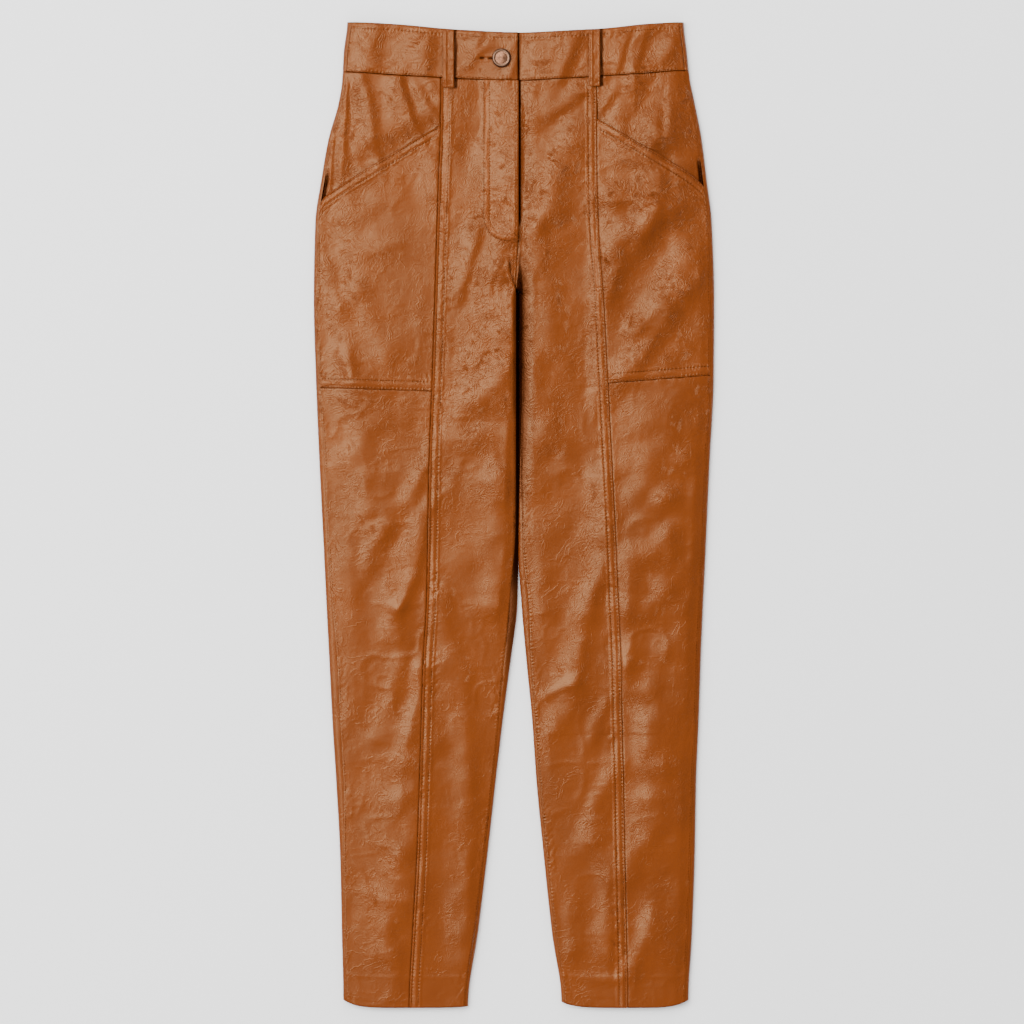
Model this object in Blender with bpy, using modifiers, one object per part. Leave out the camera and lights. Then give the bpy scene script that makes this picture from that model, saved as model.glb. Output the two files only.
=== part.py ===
"""Ankle-length faux leather trousers, laid flat on their back with the front facing up.

Blender 4.5, metres, +Z up. The waist is towards +Y, the floor is z = 0, and left and right are the
wearer's, so the right leg lies at -X. Each piece that is cut and sewn is one closed solid: a wall of cloth
between an outer and an inner skin, both worked out from the garment's flat section. The sizes and tables
are in millimetres. x is measured from the middle, drop downwards from the waist's side corners.
"""

from collections import namedtuple

import bpy
import numpy as np

MM = 0.001
LENGTH = 986.0  # waist's side corners to the lowest point of the hem
WALL = 1.6  # faux leather on its knitted backing
BAND_WALL = 2.4  # two layers and an interlining
BAND_PROUD = 0.8  # the waistband stands this far above the panels
BAND_DEPTH = 50.0  # the straight-cut drop of the waist seam
SEAM_GAP = 0.3
LAP_GAP = 0.8  # between two walls that lie over each other
EDGE_MID = 3.4  # height of a side fold's outermost line
FOLD_REACH = 6.0  # how far a fold's rounding runs in over the front
FOLD_REACH_UNDER = 4.5  # and in under the back
SIDE_THICK = 6.9  # both layers with the air between them, at the side fold
CROWN = 0.9  # how far the middle of a panel lifts above its edges
CROTCH = 266.0
FORK = 8.0  # the length over which the seams part at the crotch
BACK_SEAM = 4.3  # x of the centre back seam

# One row for each level of a leg: the flat outline, the panel seam, how far the back wraps onto the
# front at the outseam and the inseam, and the thickness at the inner edge or the fly.
Girth = namedtuple("Girth", "drop outer inner seam out_wrap in_wrap thick")
RIGHT_LEG = [
    Girth(0, 167.0, 4.0, 73.0, 4.0, 8.0, 9.4),
    Girth(30, 170.5, 4.0, 73.0, 4.0, 8.0, 9.4),
    Girth(58, 172.0, 4.0, 73.0, 3.6, 8.0, 9.4),
    Girth(80, 175.5, 4.0, 73.2, 3.5, 8.0, 9.4),
    Girth(118, 186.0, 4.0, 73.8, 3.5, 8.0, 9.4),
    Girth(158, 193.0, 4.0, 75.3, 3.5, 8.0, 9.4),
    Girth(200, 199.0, 4.0, 76.8, 3.5, 8.0, 9.2),
    Girth(278, 200.5, 4.0, 79.2, 3.5, 2.4, 9.2),
    Girth(358, 198.3, 4.0, 81.8, 3.8, 2.4, 8.6),
    Girth(438, 195.0, 4.0, 84.8, 5.5, 2.6, 7.6),
    Girth(528, 190.5, 4.0, 86.4, 5.0, 4.4, 7.0),
    Girth(580, 188.0, 3.6, 87.5, 5.8, 7.6, 6.9),
    Girth(638, 185.0, -3.2, 90.8, 8.0, 6.6, 6.9),
    Girth(698, 182.0, -11.0, 92.6, 8.0, 4.2, 6.9),
    Girth(758, 178.2, -18.0, 94.4, 7.5, 3.2, 6.9),
    Girth(838, 174.0, -27.0, 97.2, 3.6, 3.2, 6.9),
    Girth(908, 172.5, -35.5, 101.2, 3.2, 3.2, 6.9),
    Girth(986, 171.0, -45.8, 104.8, 3.2, 3.2, 6.9),
]
LEFT_LEG = [
    Girth(0, 170.0, 4.6, 83.0, 4.0, 3.2, 9.4),
    Girth(30, 173.0, 4.6, 83.0, 4.0, 3.2, 9.4),
    Girth(58, 176.0, 4.6, 83.0, 4.0, 3.2, 9.4),
    Girth(80, 180.5, 4.6, 83.0, 4.0, 3.2, 9.4),
    Girth(118, 188.0, 4.6, 83.2, 4.0, 3.2, 9.4),
    Girth(158, 193.0, 4.6, 83.6, 4.0, 3.2, 9.4),
    Girth(200, 198.0, 4.6, 84.8, 4.0, 3.2, 9.2),
    Girth(278, 200.5, 4.6, 90.0, 4.0, 5.0, 9.2),
    Girth(358, 200.0, 4.6, 94.2, 4.0, 4.9, 8.6),
    Girth(438, 196.0, 4.6, 98.3, 3.4, 3.2, 7.6),
    Girth(528, 192.0, 4.6, 102.7, 3.2, 4.6, 7.0),
    Girth(580, 189.5, 7.2, 104.8, 3.2, 7.6, 6.9),
    Girth(638, 187.0, 12.2, 107.4, 3.2, 4.6, 6.9),
    Girth(698, 185.0, 18.0, 108.5, 3.2, 3.2, 6.9),
    Girth(758, 182.5, 22.2, 110.0, 3.4, 3.2, 6.9),
    Girth(838, 181.0, 30.0, 111.4, 4.4, 3.2, 6.9),
    Girth(908, 178.5, 37.5, 112.9, 4.6, 3.2, 6.9),
    Girth(986, 174.8, 47.3, 114.2, 3.2, 3.2, 6.9),
]

# The waistband's two edges, as drops across the front.
Waist = namedtuple("Waist", "x top bottom")
WAIST = [
    Waist(-167, 0.0, 50.0),
    Waist(-119, 2.0, 53.0),
    Waist(-76, 6.0, 55.3),
    Waist(-50, 8.0, 56.8),
    Waist(5, 10.5, 58.5),
    Waist(65, 8.0, 55.6),
    Waist(95, 6.0, 53.8),
    Waist(132, 2.0, 51.4),
    Waist(170, 0.0, 48.5),
]
WAIST_FADE = 120.0  # the waist seam's dip dies out over this drop

# The slanted pocket mouths, from the panel seam out to the side.
Mouth = namedtuple("Mouth", "across drop")
RIGHT_MOUTH = [Mouth(73, 101.0), Mouth(134, 138.5), Mouth(175, 164.5), Mouth(191, 176.5), Mouth(199, 190)]
LEFT_MOUTH = [Mouth(83, 94.0), Mouth(119, 117.0), Mouth(154, 138.0), Mouth(188, 162.0), Mouth(198, 178)]
MOUTH_UNDERLAP = 14.0  # the facing runs on this far under the pocket
MOUTH_SINK_RUN = 26.0  # and starts to sink this far above the mouth

# Creases and soft ridges of the front: two ends, half width, and height, or depth below 0.
Fold = namedtuple("Fold", "x0 drop0 x1 drop1 width height")
FOLDS = [
    Fold(-165, 57, -135, 144, 9, 1.5),
    Fold(-148, 62, -131, 118, 8, -1.2),
    Fold(-130, 57, -93, 113, 9, 1.5),
    Fold(-46, 128, -46, 398, 18, 1.5),
    Fold(-191, 244, -171, 349, 10, 1.4),
    Fold(-163, 376, -163, 476, 15, 1.7),
    Fold(-87, 471, -150, 549, 10, -1.9),
    Fold(-92, 496, -145, 570, 10, 2.0),
    Fold(-122, 581, -122, 650, 14, 1.5),
    Fold(-92, 619, -128, 688, 10, -1.6),
    Fold(-98, 653, -116, 711, 10, 1.5),
    Fold(135, 57, 109, 104, 9, -1.4),
    Fold(158, 64, 150, 96, 14, 1.4),
    Fold(70, 68, 32, 132, 13, 1.2),
    Fold(66, 128, 66, 238, 13, -1.1),
    Fold(180, 238, 124, 334, 11, 1.8),
    Fold(104, 190, 150, 208, 12, 1.3),
    Fold(128, 361, 128, 506, 22, 1.7),
    Fold(86, 468, 84, 568, 11, 1.4),
    Fold(38, 448, 38, 578, 13, -1.5),
    Fold(108, 650, 157, 624, 8, -1.3),
    Fold(120, 700, 140, 860, 16, 1.2),
    Fold(4, 222, 4, 266, 9, -1.6),
]

FLY_EDGE = 4.7  # x of the fly's overlapping edge
FLY_END = 206.0  # drop where the fly's slit closes
UNDERLAP_END = -1.0  # x where the left front ends under the fly
SLIT = 2.6  # how much of the sunken left front shows beside the fly
CENTRE_SEAM_LOW = 1.6  # x of the centre front seam at the crotch
BAND_UNDERLAP_END = -36.0
BAND_EDGE = 3.7  # x of the waistband's overlapping end
SINK_RUN = 15.0  # how far a lapped piece takes to sink under its neighbour

HEM_OUTER_RISE = 8.0
HEM_INNER_RISE = {"right": 1.5, "left": 6.0}
HEM_FADE = 60.0

LOOP_WIDTH = 11.6
LOOP_WALL = 1.6
LOOP_ARCH = 1.2
LOOP_TOP = 2.0  # below the waistband's top edge
LOOP_TAIL = 9.8  # below the waist seam
FRONT_LOOPS = {"right": -65.6, "left": 80.4}
BACK_LOOPS = {"right": -92.0, "centre": 0.0, "left": 92.0}
LOOP_CLEAR = 1.2  # the back lies over each of its loops, lifted this far round it
LOOP_LIFT_RUN = 9.0
LOOP_LIFT_END = 20.0

BUTTON_X, BUTTON_DROP = -12.5, 36.3
BUTTON_RADIUS = 9.5
BUTTON_HEIGHT = 3.4
SHANK_RADIUS = 2.4
HOLE_RADIUS = 2.9
HOLE_SLOT = (20.0, 1.2)

ZIP_SPAN = (-20.0, 8.0)
ZIP_DROPS = (64.0, 202.0)
ZIP_TAPE = 0.8
ZIP_CHAIN_X = -6.5
ZIP_CHAIN_RISE = 0.9

FAUX_LEATHER = {"colour": (0.39, 0.102, 0.018), "roughness": 0.42, "metallic": 0.0}
ANTIQUE_COPPER = {"colour": (0.30, 0.13, 0.06), "roughness": 0.38, "metallic": 1.0}
ZIP_CLOTH = {"colour": (0.16, 0.045, 0.012), "roughness": 0.8, "metallic": 0.0}

LEGS = {"right": RIGHT_LEG, "left": LEFT_LEG}
MOUTHS = {"right": RIGHT_MOUTH, "left": LEFT_MOUTH}
SIGN = {"right": -1.0, "left": 1.0}


def through(rows, column, at):
    """A smooth curve through a table's column against its first one (monotone cubic, flat past the ends)."""
    xs = np.array([row[0] for row in rows], float)
    ys = np.array([getattr(row, column) for row in rows], float)
    step = np.diff(xs)
    slope = np.diff(ys) / step
    before, after = slope[:-1], slope[1:]
    tangent = np.zeros(len(xs))
    turning = before * after <= 0
    tangent[1:-1] = np.where(turning, 0, 2 * before * after / np.where(turning, 1, before + after))
    at = np.clip(at, xs[0], xs[-1])
    i = np.clip(np.searchsorted(xs, at) - 1, 0, len(step) - 1)
    t = (at - xs[i]) / step[i]
    ends = ys[i] * (1 + 2 * t) * (1 - t) ** 2 + ys[i + 1] * t**2 * (3 - 2 * t)
    return ends + step[i] * (tangent[i] * t * (1 - t) ** 2 - tangent[i + 1] * t**2 * (1 - t))


def smooth(t):
    """0 below 0, 1 above 1, and an S curve between."""
    t = np.clip(t, 0, 1)
    return t * t * (3 - 2 * t)


def bulge(distance, reach):
    """A quarter ellipse: 0 at a folded edge, and 1 from reach inwards."""
    return np.sqrt(1 - (1 - np.clip(distance / reach, 0, 1)) ** 2)


def leg(side, column, drop):
    return through(LEGS[side], column, drop)


def outer_edge(side, drop):
    return SIGN[side] * leg(side, "outer", drop)


def inner_edge(side, drop):
    """The inner column counts as x on both legs."""
    return leg(side, "inner", drop)


def side_seam(side, drop):
    return outer_edge(side, drop) - SIGN[side] * leg(side, "out_wrap", drop)


def panel_seam(side, drop):
    return SIGN[side] * leg(side, "seam", drop)


def parted(drop):
    """0 where the two fronts are joined, 1 where the legs are apart."""
    return smooth((drop - CROTCH) / FORK)


def distances(side, x, drop):
    """From the outer and the inner folded edge, inwards."""
    sign = SIGN[side]
    return sign * (outer_edge(side, drop) - x), sign * (x - inner_edge(side, drop))


def relief(side, x, drop):
    """The crown of the panel and the creases of the table, which die out at the folded edges."""
    from_outer, from_inner = distances(side, x, drop)
    across = np.clip(from_outer / (from_outer + from_inner), 0, 1)
    lift = CROWN * (1 - (2 * across - 1) ** 4)
    for fold in FOLDS:
        run = np.array([fold.x1 - fold.x0, fold.drop1 - fold.drop0], float)
        along = ((x - fold.x0) * run[0] + (drop - fold.drop0) * run[1]) / (run @ run)
        along = np.clip(along, 0, 1)
        off = np.hypot(x - fold.x0 - along * run[0], drop - fold.drop0 - along * run[1])
        lift = lift + fold.height * np.exp(-((off / fold.width) ** 2))
    edges = smooth(from_outer / 16) * (1 - parted(drop) * (1 - smooth(from_inner / 16)))
    return lift * edges


def front_height(side, x, drop, inset=0.0, proud=0.0):
    """z of the front's outer skin, or of the skin that lies inset inside it."""
    from_outer, from_inner = distances(side, x, drop)
    across = smooth(from_outer / (from_outer + from_inner))
    thick = SIDE_THICK + (leg(side, "thick", drop) - SIDE_THICK) * across + proud
    shape = bulge(from_outer - inset, FOLD_REACH - inset)
    shape = shape * (1 - parted(drop) * (1 - bulge(from_inner - inset, FOLD_REACH - inset)))
    return EDGE_MID + (thick - EDGE_MID - inset) * shape + relief(side, x, drop)


def loop_lift(x, drop):
    """How far the back is held off the floor by the belt loops that it lies on."""
    tail = BAND_DEPTH + LOOP_TAIL + LOOP_CLEAR
    height = LOOP_WALL + SEAM_GAP
    beside = [(np.abs(x - at) - LOOP_WIDTH / 2 - LOOP_CLEAR) / LOOP_LIFT_RUN for at in BACK_LOOPS.values()]
    return height * (1 - smooth(np.min(beside, axis=0))) * (1 - smooth((drop - tail) / LOOP_LIFT_END))


def back_height(side, x, drop, inset=0.0):
    """z of the back's skin on the floor, or of the skin inset above it."""
    from_outer, from_inner = distances(side, x, drop)
    shape = bulge(from_outer - inset, FOLD_REACH_UNDER - inset)
    shape = shape * (1 - parted(drop) * (1 - bulge(from_inner - inset, FOLD_REACH_UNDER - inset)))
    return EDGE_MID - (EDGE_MID - inset) * shape + loop_lift(x, drop)


def place(side, x, drop, z):
    """World points in metres, with the waist seam's dip and the hem's curve laid over the straight cut."""
    dip = through(WAIST, "bottom", x) - BAND_DEPTH
    from_outer, from_inner = distances(side, x, drop)
    across = np.clip(2 * from_outer / (from_outer + from_inner) - 1, -1, 1)
    rise = np.where(across < 0, HEM_OUTER_RISE, HEM_INNER_RISE[side]) * np.abs(across) ** 5
    hem = rise * smooth((drop - LENGTH + HEM_FADE) / HEM_FADE)
    down = drop + dip * (1 - smooth((drop - BAND_DEPTH) / WAIST_FADE)) - hem
    return np.stack(np.broadcast_arrays(x, LENGTH / 2 - down, z), axis=-1) * MM


def place_band(x, depth, z):
    """World points of the waistband; depth is 0 at its top edge and 1 at the waist seam."""
    down = through(WAIST, "top", x) * (1 - depth) + through(WAIST, "bottom", x) * depth
    return np.stack(np.broadcast_arrays(x, LENGTH / 2 - down, z), axis=-1) * MM


def put_in(collection, name, mesh, look):
    """One named object with its own material."""
    obj = bpy.data.objects.new(name, mesh)
    collection.objects.link(obj)
    if look:
        material = bpy.data.materials.new(name)
        material.use_nodes = True
        shader = material.node_tree.nodes["Principled BSDF"]
        shader.inputs["Base Color"].default_value = (*look["colour"], 1)
        shader.inputs["Roughness"].default_value = look["roughness"]
        shader.inputs["Metallic"].default_value = look["metallic"]
        mesh.materials.append(material)
    return obj


def wall(name, outer, inner, look=FAUX_LEATHER):
    """A closed wall of cloth between two skins: grids of points, across by along, the outer one facing out."""
    across, along = outer.shape[:2]
    index = np.arange(across * along).reshape(across, along)
    under = index + across * along
    corners = [index[:-1, :-1], index[1:, :-1], index[1:, 1:], index[:-1, 1:]]
    skin = np.stack(corners, axis=-1).reshape(-1, 4)
    skins = [skin, (skin + across * along)[:, ::-1]]
    rims = []
    for edge, below in (
        (index[:, 0], under[:, 0]),
        (index[-1, :], under[-1, :]),
        (index[::-1, -1], under[::-1, -1]),
        (index[0, ::-1], under[0, ::-1]),
    ):
        rims.append(np.stack([edge[:-1], below[:-1], below[1:], edge[1:]], axis=-1))
    mesh = bpy.data.meshes.new(name)
    points = np.concatenate([outer.reshape(-1, 3), inner.reshape(-1, 3)])
    faces = np.concatenate(skins + rims)
    if np.sum(np.cross(outer[1, 0] - outer[0, 0], outer[0, 1] - outer[0, 0]) * (outer - inner)[0, 0]) < 0:
        faces = faces[:, ::-1]
    mesh.from_pydata(points.tolist(), [], faces.tolist())
    mesh.shade_smooth()
    mesh.set_sharp_from_angle(angle=np.radians(40))
    return put_in(parts, name, mesh, look)


def between(first, last, share):
    return first + (last - first) * share


def front_panel(name, side, shares, drops, edges, sink=None):
    """A front piece: edges(drop) gives its two side edges, and drops(share) its levels in each column."""
    shares = np.asarray(shares)[:, None]
    drop = np.broadcast_to(drops(shares), (len(shares), drops(shares).shape[1]))
    first, last = edges(drop)
    x = between(first, last, shares)
    fall = sink(x, drop) if sink else 0.0
    outer = place(side, x, drop, front_height(side, x, drop) - fall)
    inner = place(side, x, drop, front_height(side, x, drop, WALL) - fall)
    return wall(name, outer, inner)


def mouth_drop(side, x):
    return through(MOUTHS[side], "drop", SIGN[side] * x)


def pocket_bottom(side, x):
    """The bottom seams: nearly level on the right, and rising outwards on the left."""
    if side == "right":
        return 367.3 + 0.03 * (x + 140)
    return 357.3 - 0.08 * (x - 144)


def side_edges(side):
    """The side panel's two edges at a drop, half a gap clear of the seams."""
    sign = SIGN[side]
    return lambda drop: (
        side_seam(side, drop) - sign * SEAM_GAP / 2,
        panel_seam(side, drop) + sign * SEAM_GAP / 2,
    )


def side_x(side, share, line):
    """x where a column of the side panel meets a line across it, such as the pocket's mouth."""
    x = np.full_like(share, SIGN[side] * 130.0)
    for _ in range(6):
        first, last = side_edges(side)(line(side, x))
        x = between(first, last, share)
    return x


def facing_sink(side):
    """The facing sinks by one wall as it nears the mouth and passes under the pocket."""
    def fall(x, drop):
        above = mouth_drop(side, x) - drop
        return (WALL + LAP_GAP) * (1 - smooth((above - 1) / MOUTH_SINK_RUN))
    return fall


def fly_sink(x, drop):
    """The left front sinks by one wall under the fly's edge, down to where the slit closes."""
    beside = 1 - smooth((x - FLY_EDGE - SLIT) / SINK_RUN)
    return (WALL + SEAM_GAP) * beside * (1 - smooth((drop - FLY_END - 16) / 24))


def centre_edges(side):
    """From the panel seam to the fly, the centre front seam and then the inseam."""
    sign = SIGN[side]
    seam_x = np.array([FLY_EDGE, FLY_EDGE, CENTRE_SEAM_LOW])
    drops = np.array([0.0, FLY_END, CROTCH])

    def edges(drop):
        centre = np.interp(drop, drops, seam_x)
        if side == "left":
            joined = centre + SEAM_GAP
            centre = between(UNDERLAP_END, joined, smooth((drop - FLY_END) / 6))
            centre = np.where(drop < FLY_END, UNDERLAP_END, centre)
        bulk = SEAM_GAP * (1 - smooth((drop - CROTCH - FORK) / (3 * FORK)))
        inseam = inner_edge(side, drop) + sign * (leg(side, "in_wrap", drop) + SEAM_GAP / 2 + bulk)
        return (
            panel_seam(side, drop) - sign * SEAM_GAP / 2,
            between(centre, inseam, smooth((drop - CROTCH) / FORK)),
        )

    return edges


def long_levels():
    """The drops that the backs and the centre fronts share, so that their seams run side by side."""
    tail = BAND_DEPTH + LOOP_TAIL + LOOP_CLEAR
    return np.concatenate([
        [BAND_DEPTH + SEAM_GAP / 2, tail, tail + LOOP_LIFT_END / 2, tail + LOOP_LIFT_END],
        np.linspace(92, FLY_END - 0.1, 10),
        [FLY_END + 6, FLY_END + 16, FLY_END + 40, CROTCH, CROTCH + FORK],
        np.linspace(CROTCH + 24, LENGTH, 27),
    ])[None, :]


def back_panel(side):
    """A back piece: round the inner fold, along the floor, and up over the outer fold onto the front."""
    sign = SIGN[side]
    steps = np.linspace(0, 1, 5)
    drop = long_levels()
    near = sign * inner_edge(side, 0) + FOLD_REACH_UNDER
    far = leg(side, "outer", BAND_DEPTH) - FOLD_REACH_UNDER
    flat = [(x * sign - near) / (far - near) for x in loop_stations() if near < x * sign < far]
    flat = np.array([0, *sorted(flat), 1])
    skins = []
    for inset in (0.0, WALL):
        out = outer_edge(side, drop)
        inn = inner_edge(side, drop)
        over_in = leg(side, "in_wrap", drop) - SEAM_GAP / 2
        over_out = leg(side, "out_wrap", drop) - SEAM_GAP / 2
        rows = []
        for step in steps[:0:-1]:
            d = inset + (over_in - inset) * step**2
            x = inn + sign * d
            rows.append((x, front_height(side, x, drop, inset)))
        for step in steps[:-1]:
            d = inset + (FOLD_REACH_UNDER - inset) * step**2
            x = inn + sign * d
            rows.append((x, back_height(side, x, drop, inset)))
        for share in flat:
            x = between(inn + sign * FOLD_REACH_UNDER, out - sign * FOLD_REACH_UNDER, share)
            rows.append((x, back_height(side, x, drop, inset)))
        for step in steps[-2::-1]:
            d = inset + (FOLD_REACH_UNDER - inset) * step**2
            x = out - sign * d
            rows.append((x, back_height(side, x, drop, inset)))
        for step in steps[1:]:
            d = inset + (over_out - inset) * step**2
            x = out - sign * d
            rows.append((x, front_height(side, x, drop, inset)))
        x = np.array([np.broadcast_to(x, drop.shape)[0] for x, _ in rows])
        z = np.array([np.broadcast_to(z, drop.shape)[0] for _, z in rows])
        # Above the crotch the inner fold is open, and its points lie flat up to the centre back seam.
        folded = 2 * len(steps) - 2
        flat_x = BACK_SEAM + sign * SEAM_GAP / 2 + sign * np.linspace(0, FOLD_REACH_UNDER, folded + 1)[:-1, None]
        flat_z = loop_lift(flat_x, drop) + inset
        joined = 1 - smooth((drop - CROTCH) / FORK)
        x[:folded] = between(x[:folded], np.broadcast_to(flat_x, x[:folded].shape), joined)
        z[:folded] = between(z[:folded], flat_z, joined)
        skins.append(place(side, x, np.broadcast_to(drop, x.shape), z))
    return wall(f"back_{side}", *skins)


def band_sides(side, x, depth, inset, top):
    drop = BAND_DEPTH * depth
    if top:
        return front_height(side, x, drop, inset, BAND_PROUD)
    return back_height(side, x, drop, inset)


def band_front(name, side, last, sink):
    """A front of the waistband, from its side seam to its end at the fly."""
    sign = SIGN[side]
    share = np.linspace(0, 1, 20)[:, None]
    depth = np.linspace(0, 1 - SEAM_GAP / 2 / BAND_DEPTH, 4)[None, :]
    first = side_seam(side, BAND_DEPTH * depth) - sign * SEAM_GAP / 2
    x = between(first, last, share)
    fall = sink(x)
    skins = []
    for inset in (0.0, BAND_WALL):
        skins.append(place_band(x, depth, band_sides(side, x, depth, inset, True) - fall))
    return wall(name, *skins)


def band_back():
    """The waistband's back: along the floor from side to side, and over both side folds."""
    depth = np.linspace(0, 1 - SEAM_GAP / 2 / BAND_DEPTH, 4)[None, :]
    steps = np.linspace(0, 1, 5)
    skins = []
    for inset in (0.0, BAND_WALL):
        rows = []
        for side, order in (("right", 1), ("left", -1)):
            sign = SIGN[side]
            out = outer_edge(side, BAND_DEPTH * depth)
            over = leg(side, "out_wrap", BAND_DEPTH * depth) - SEAM_GAP / 2
            half = []
            for step in steps[:0:-1]:
                x = out - sign * (inset + (over - inset) * step**2)
                half.append((x, band_sides(side, x, depth, inset, True)))
            for step in steps[:-1]:
                x = out - sign * (inset + (FOLD_REACH_UNDER - inset) * step**2)
                half.append((x, band_sides(side, x, depth, inset, False)))
            edge = out - sign * FOLD_REACH_UNDER
            loops = [x for x in (*loop_stations(), 0.0, 150.0 * sign) if x * sign >= 0]
            for x in sorted(loops, key=abs, reverse=True):
                x = np.where(np.abs(x) > np.abs(edge), edge, x)
                half.append((x, band_sides(side, x, depth, inset, False)))
            rows += half[::order] if order == 1 else half[:-1][::-1]
        x = np.array([np.broadcast_to(x, depth.shape)[0] for x, _ in rows])
        z = np.array([np.broadcast_to(z, depth.shape)[0] for _, z in rows])
        skins.append(place_band(x, np.broadcast_to(depth, x.shape), z))
    return wall("waistband_back", *skins)


def loop_stations():
    """Where the back needs points to lie over its belt loops: beside each, and where it is down again."""
    near = LOOP_WIDTH / 2 + LOOP_CLEAR
    offsets = (-near - LOOP_LIFT_RUN, -near, near, near + LOOP_LIFT_RUN)
    return [at + offset for at in BACK_LOOPS.values() for offset in offsets]


def belt_loop(name, middle, side, front):
    """A folded strip from under the waistband's top edge to just below the waist seam."""
    share = np.linspace(-0.5, 0.5, 5)[:, None]
    run = np.linspace(0, 1, 13)[None, :]
    x = np.broadcast_to(middle + LOOP_WIDTH * share, (5, 13))
    top = through(WAIST, "top", middle) + LOOP_TOP
    seam = through(WAIST, "bottom", middle)
    down = between(top, seam + LOOP_TAIL, run)
    drop = BAND_DEPTH + down - seam
    if front:
        step = 1 - smooth((down - seam - 1.5) / 5)
        seat = front_height(side, x, np.maximum(drop, 0)) + BAND_PROUD * step + SEAM_GAP
        seat = np.max(seat, axis=0, keepdims=True) + LOOP_ARCH * np.sin(np.pi * run) ** 2
        edge = 0.4 * (2 * np.abs(share)) ** 4
        upper, lower = seat + LOOP_WALL - edge, seat + 0 * share
    else:
        upper, lower = LOOP_WALL + 0 * x, 0 * x
    skins = []
    for z in (upper, lower):
        z = np.broadcast_to(z, x.shape)
        skins.append(np.stack(np.broadcast_arrays(x, LENGTH / 2 - down, z), axis=-1) * MM)
    return wall(name, *skins)


def fly_zip():
    """The closed zip: its tape is sewn under the left front's edge, with the chain just beyond it."""
    x = np.array([ZIP_SPAN[0], -11.5, -10.5, -9.0, -4.0, -2.6, -1.8, 3.0, ZIP_SPAN[1]])[:, None]
    drop = np.array([ZIP_DROPS[0], 72.0, 76.0, *np.linspace(90, ZIP_DROPS[1], 7)])[None, :]
    level = front_height("left", np.maximum(x, 5.0), drop) - 2 * WALL - 2 * SEAM_GAP
    chain = ZIP_CHAIN_RISE * (np.abs(x - ZIP_CHAIN_X) < 3)
    outer = place("left", x, drop, level + chain)
    inner = place("left", x, drop, level - ZIP_TAPE)
    return wall("fly_zip", outer, inner, ZIP_CLOTH)


def button():
    """A shank button, turned: a domed cap with a raised rim, and the shank that goes through the buttonhole."""
    radius = BUTTON_RADIUS
    across = np.linspace(-radius, radius, 9)
    xs, drops = np.meshgrid(BUTTON_X + across, BUTTON_DROP + across)
    seat = front_height("right", xs, drops, proud=BAND_PROUD).max() + SEAM_GAP
    carrier = band_surface("left", BUTTON_X, BUTTON_DROP) + SEAM_GAP
    profile = [
        (0.0, BUTTON_HEIGHT - 0.3),
        (radius * 0.30, BUTTON_HEIGHT - 0.5),
        (radius * 0.42, BUTTON_HEIGHT - 1.1),
        (radius * 0.62, BUTTON_HEIGHT - 0.9),
        (radius * 0.72, BUTTON_HEIGHT - 0.1),
        (radius * 0.84, BUTTON_HEIGHT),
        (radius * 0.95, BUTTON_HEIGHT - 0.5),
        (radius, BUTTON_HEIGHT - 1.4),
        (radius * 0.97, 0.4),
        (radius * 0.86, 0.0),
        (SHANK_RADIUS, 0.0),
        (SHANK_RADIUS, carrier - seat),
        (0.0, carrier - seat),
    ]
    mesh = bpy.data.meshes.new("button")
    points = [(r * MM, 0.0, z * MM) for r, z in profile]
    mesh.from_pydata(points, [(i, i + 1) for i in range(len(points) - 1)], [])
    turned = put_in(parts, "button", mesh, ANTIQUE_COPPER)
    turned.location = (BUTTON_X * MM, (LENGTH / 2 - BUTTON_DROP) * MM, seat * MM)
    screw = turned.modifiers.new("turn", "SCREW")
    screw.steps = screw.render_steps = 24
    screw.use_merge_vertices = True
    screw.merge_threshold = 1e-5
    screw.use_smooth_shade = True
    return turned


def band_surface(side, x, down):
    """z of the waistband's outer skin under a point."""
    top, bottom = through(WAIST, "top", x), through(WAIST, "bottom", x)
    drop = BAND_DEPTH * (down - top) / (bottom - top)
    fall = band_sink(x) if side == "left" else 0.0
    return float(front_height(side, np.array(x), drop, proud=BAND_PROUD) - fall)


def band_sink(x):
    """The left band sinks by one band's wall under the right band's end."""
    return (BAND_WALL + SEAM_GAP) * (1 - smooth((x - BAND_EDGE - SLIT) / SINK_RUN))


def cut_buttonhole(band):
    """A keyhole through the band: a round eye for the shank and a slot towards the side."""
    at = (BUTTON_X * MM, (LENGTH / 2 - BUTTON_DROP) * MM, 10 * MM)
    bpy.ops.mesh.primitive_cylinder_add(vertices=20, radius=HOLE_RADIUS * MM, depth=20 * MM, location=at)
    eye = bpy.context.active_object
    slot_at = (at[0] - HOLE_SLOT[0] / 2 * MM, at[1], at[2])
    bpy.ops.mesh.primitive_cube_add(size=1, location=slot_at)
    slot = bpy.context.active_object
    slot.scale = (HOLE_SLOT[0] * MM, HOLE_SLOT[1] * MM, 20 * MM)
    for name, cutter in (("buttonhole_eye", eye), ("buttonhole_slot", slot)):
        cutter.name = name
        cutter.hide_render = True
        cutter.display_type = "WIRE"
        for collection in cutter.users_collection:
            collection.objects.unlink(cutter)
        cutters.objects.link(cutter)
        cut = band.modifiers.new(name, "BOOLEAN")
        cut.operation = "DIFFERENCE"
        cut.solver = "EXACT"
        cut.object = cutter


for old in list(bpy.data.objects):
    bpy.data.objects.remove(old, do_unlink=True)
parts = bpy.data.collections.new("faux leather trousers")
cutters = bpy.data.collections.new("cutters")
bpy.context.scene.collection.children.link(parts)
bpy.context.scene.collection.children.link(cutters)

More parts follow.
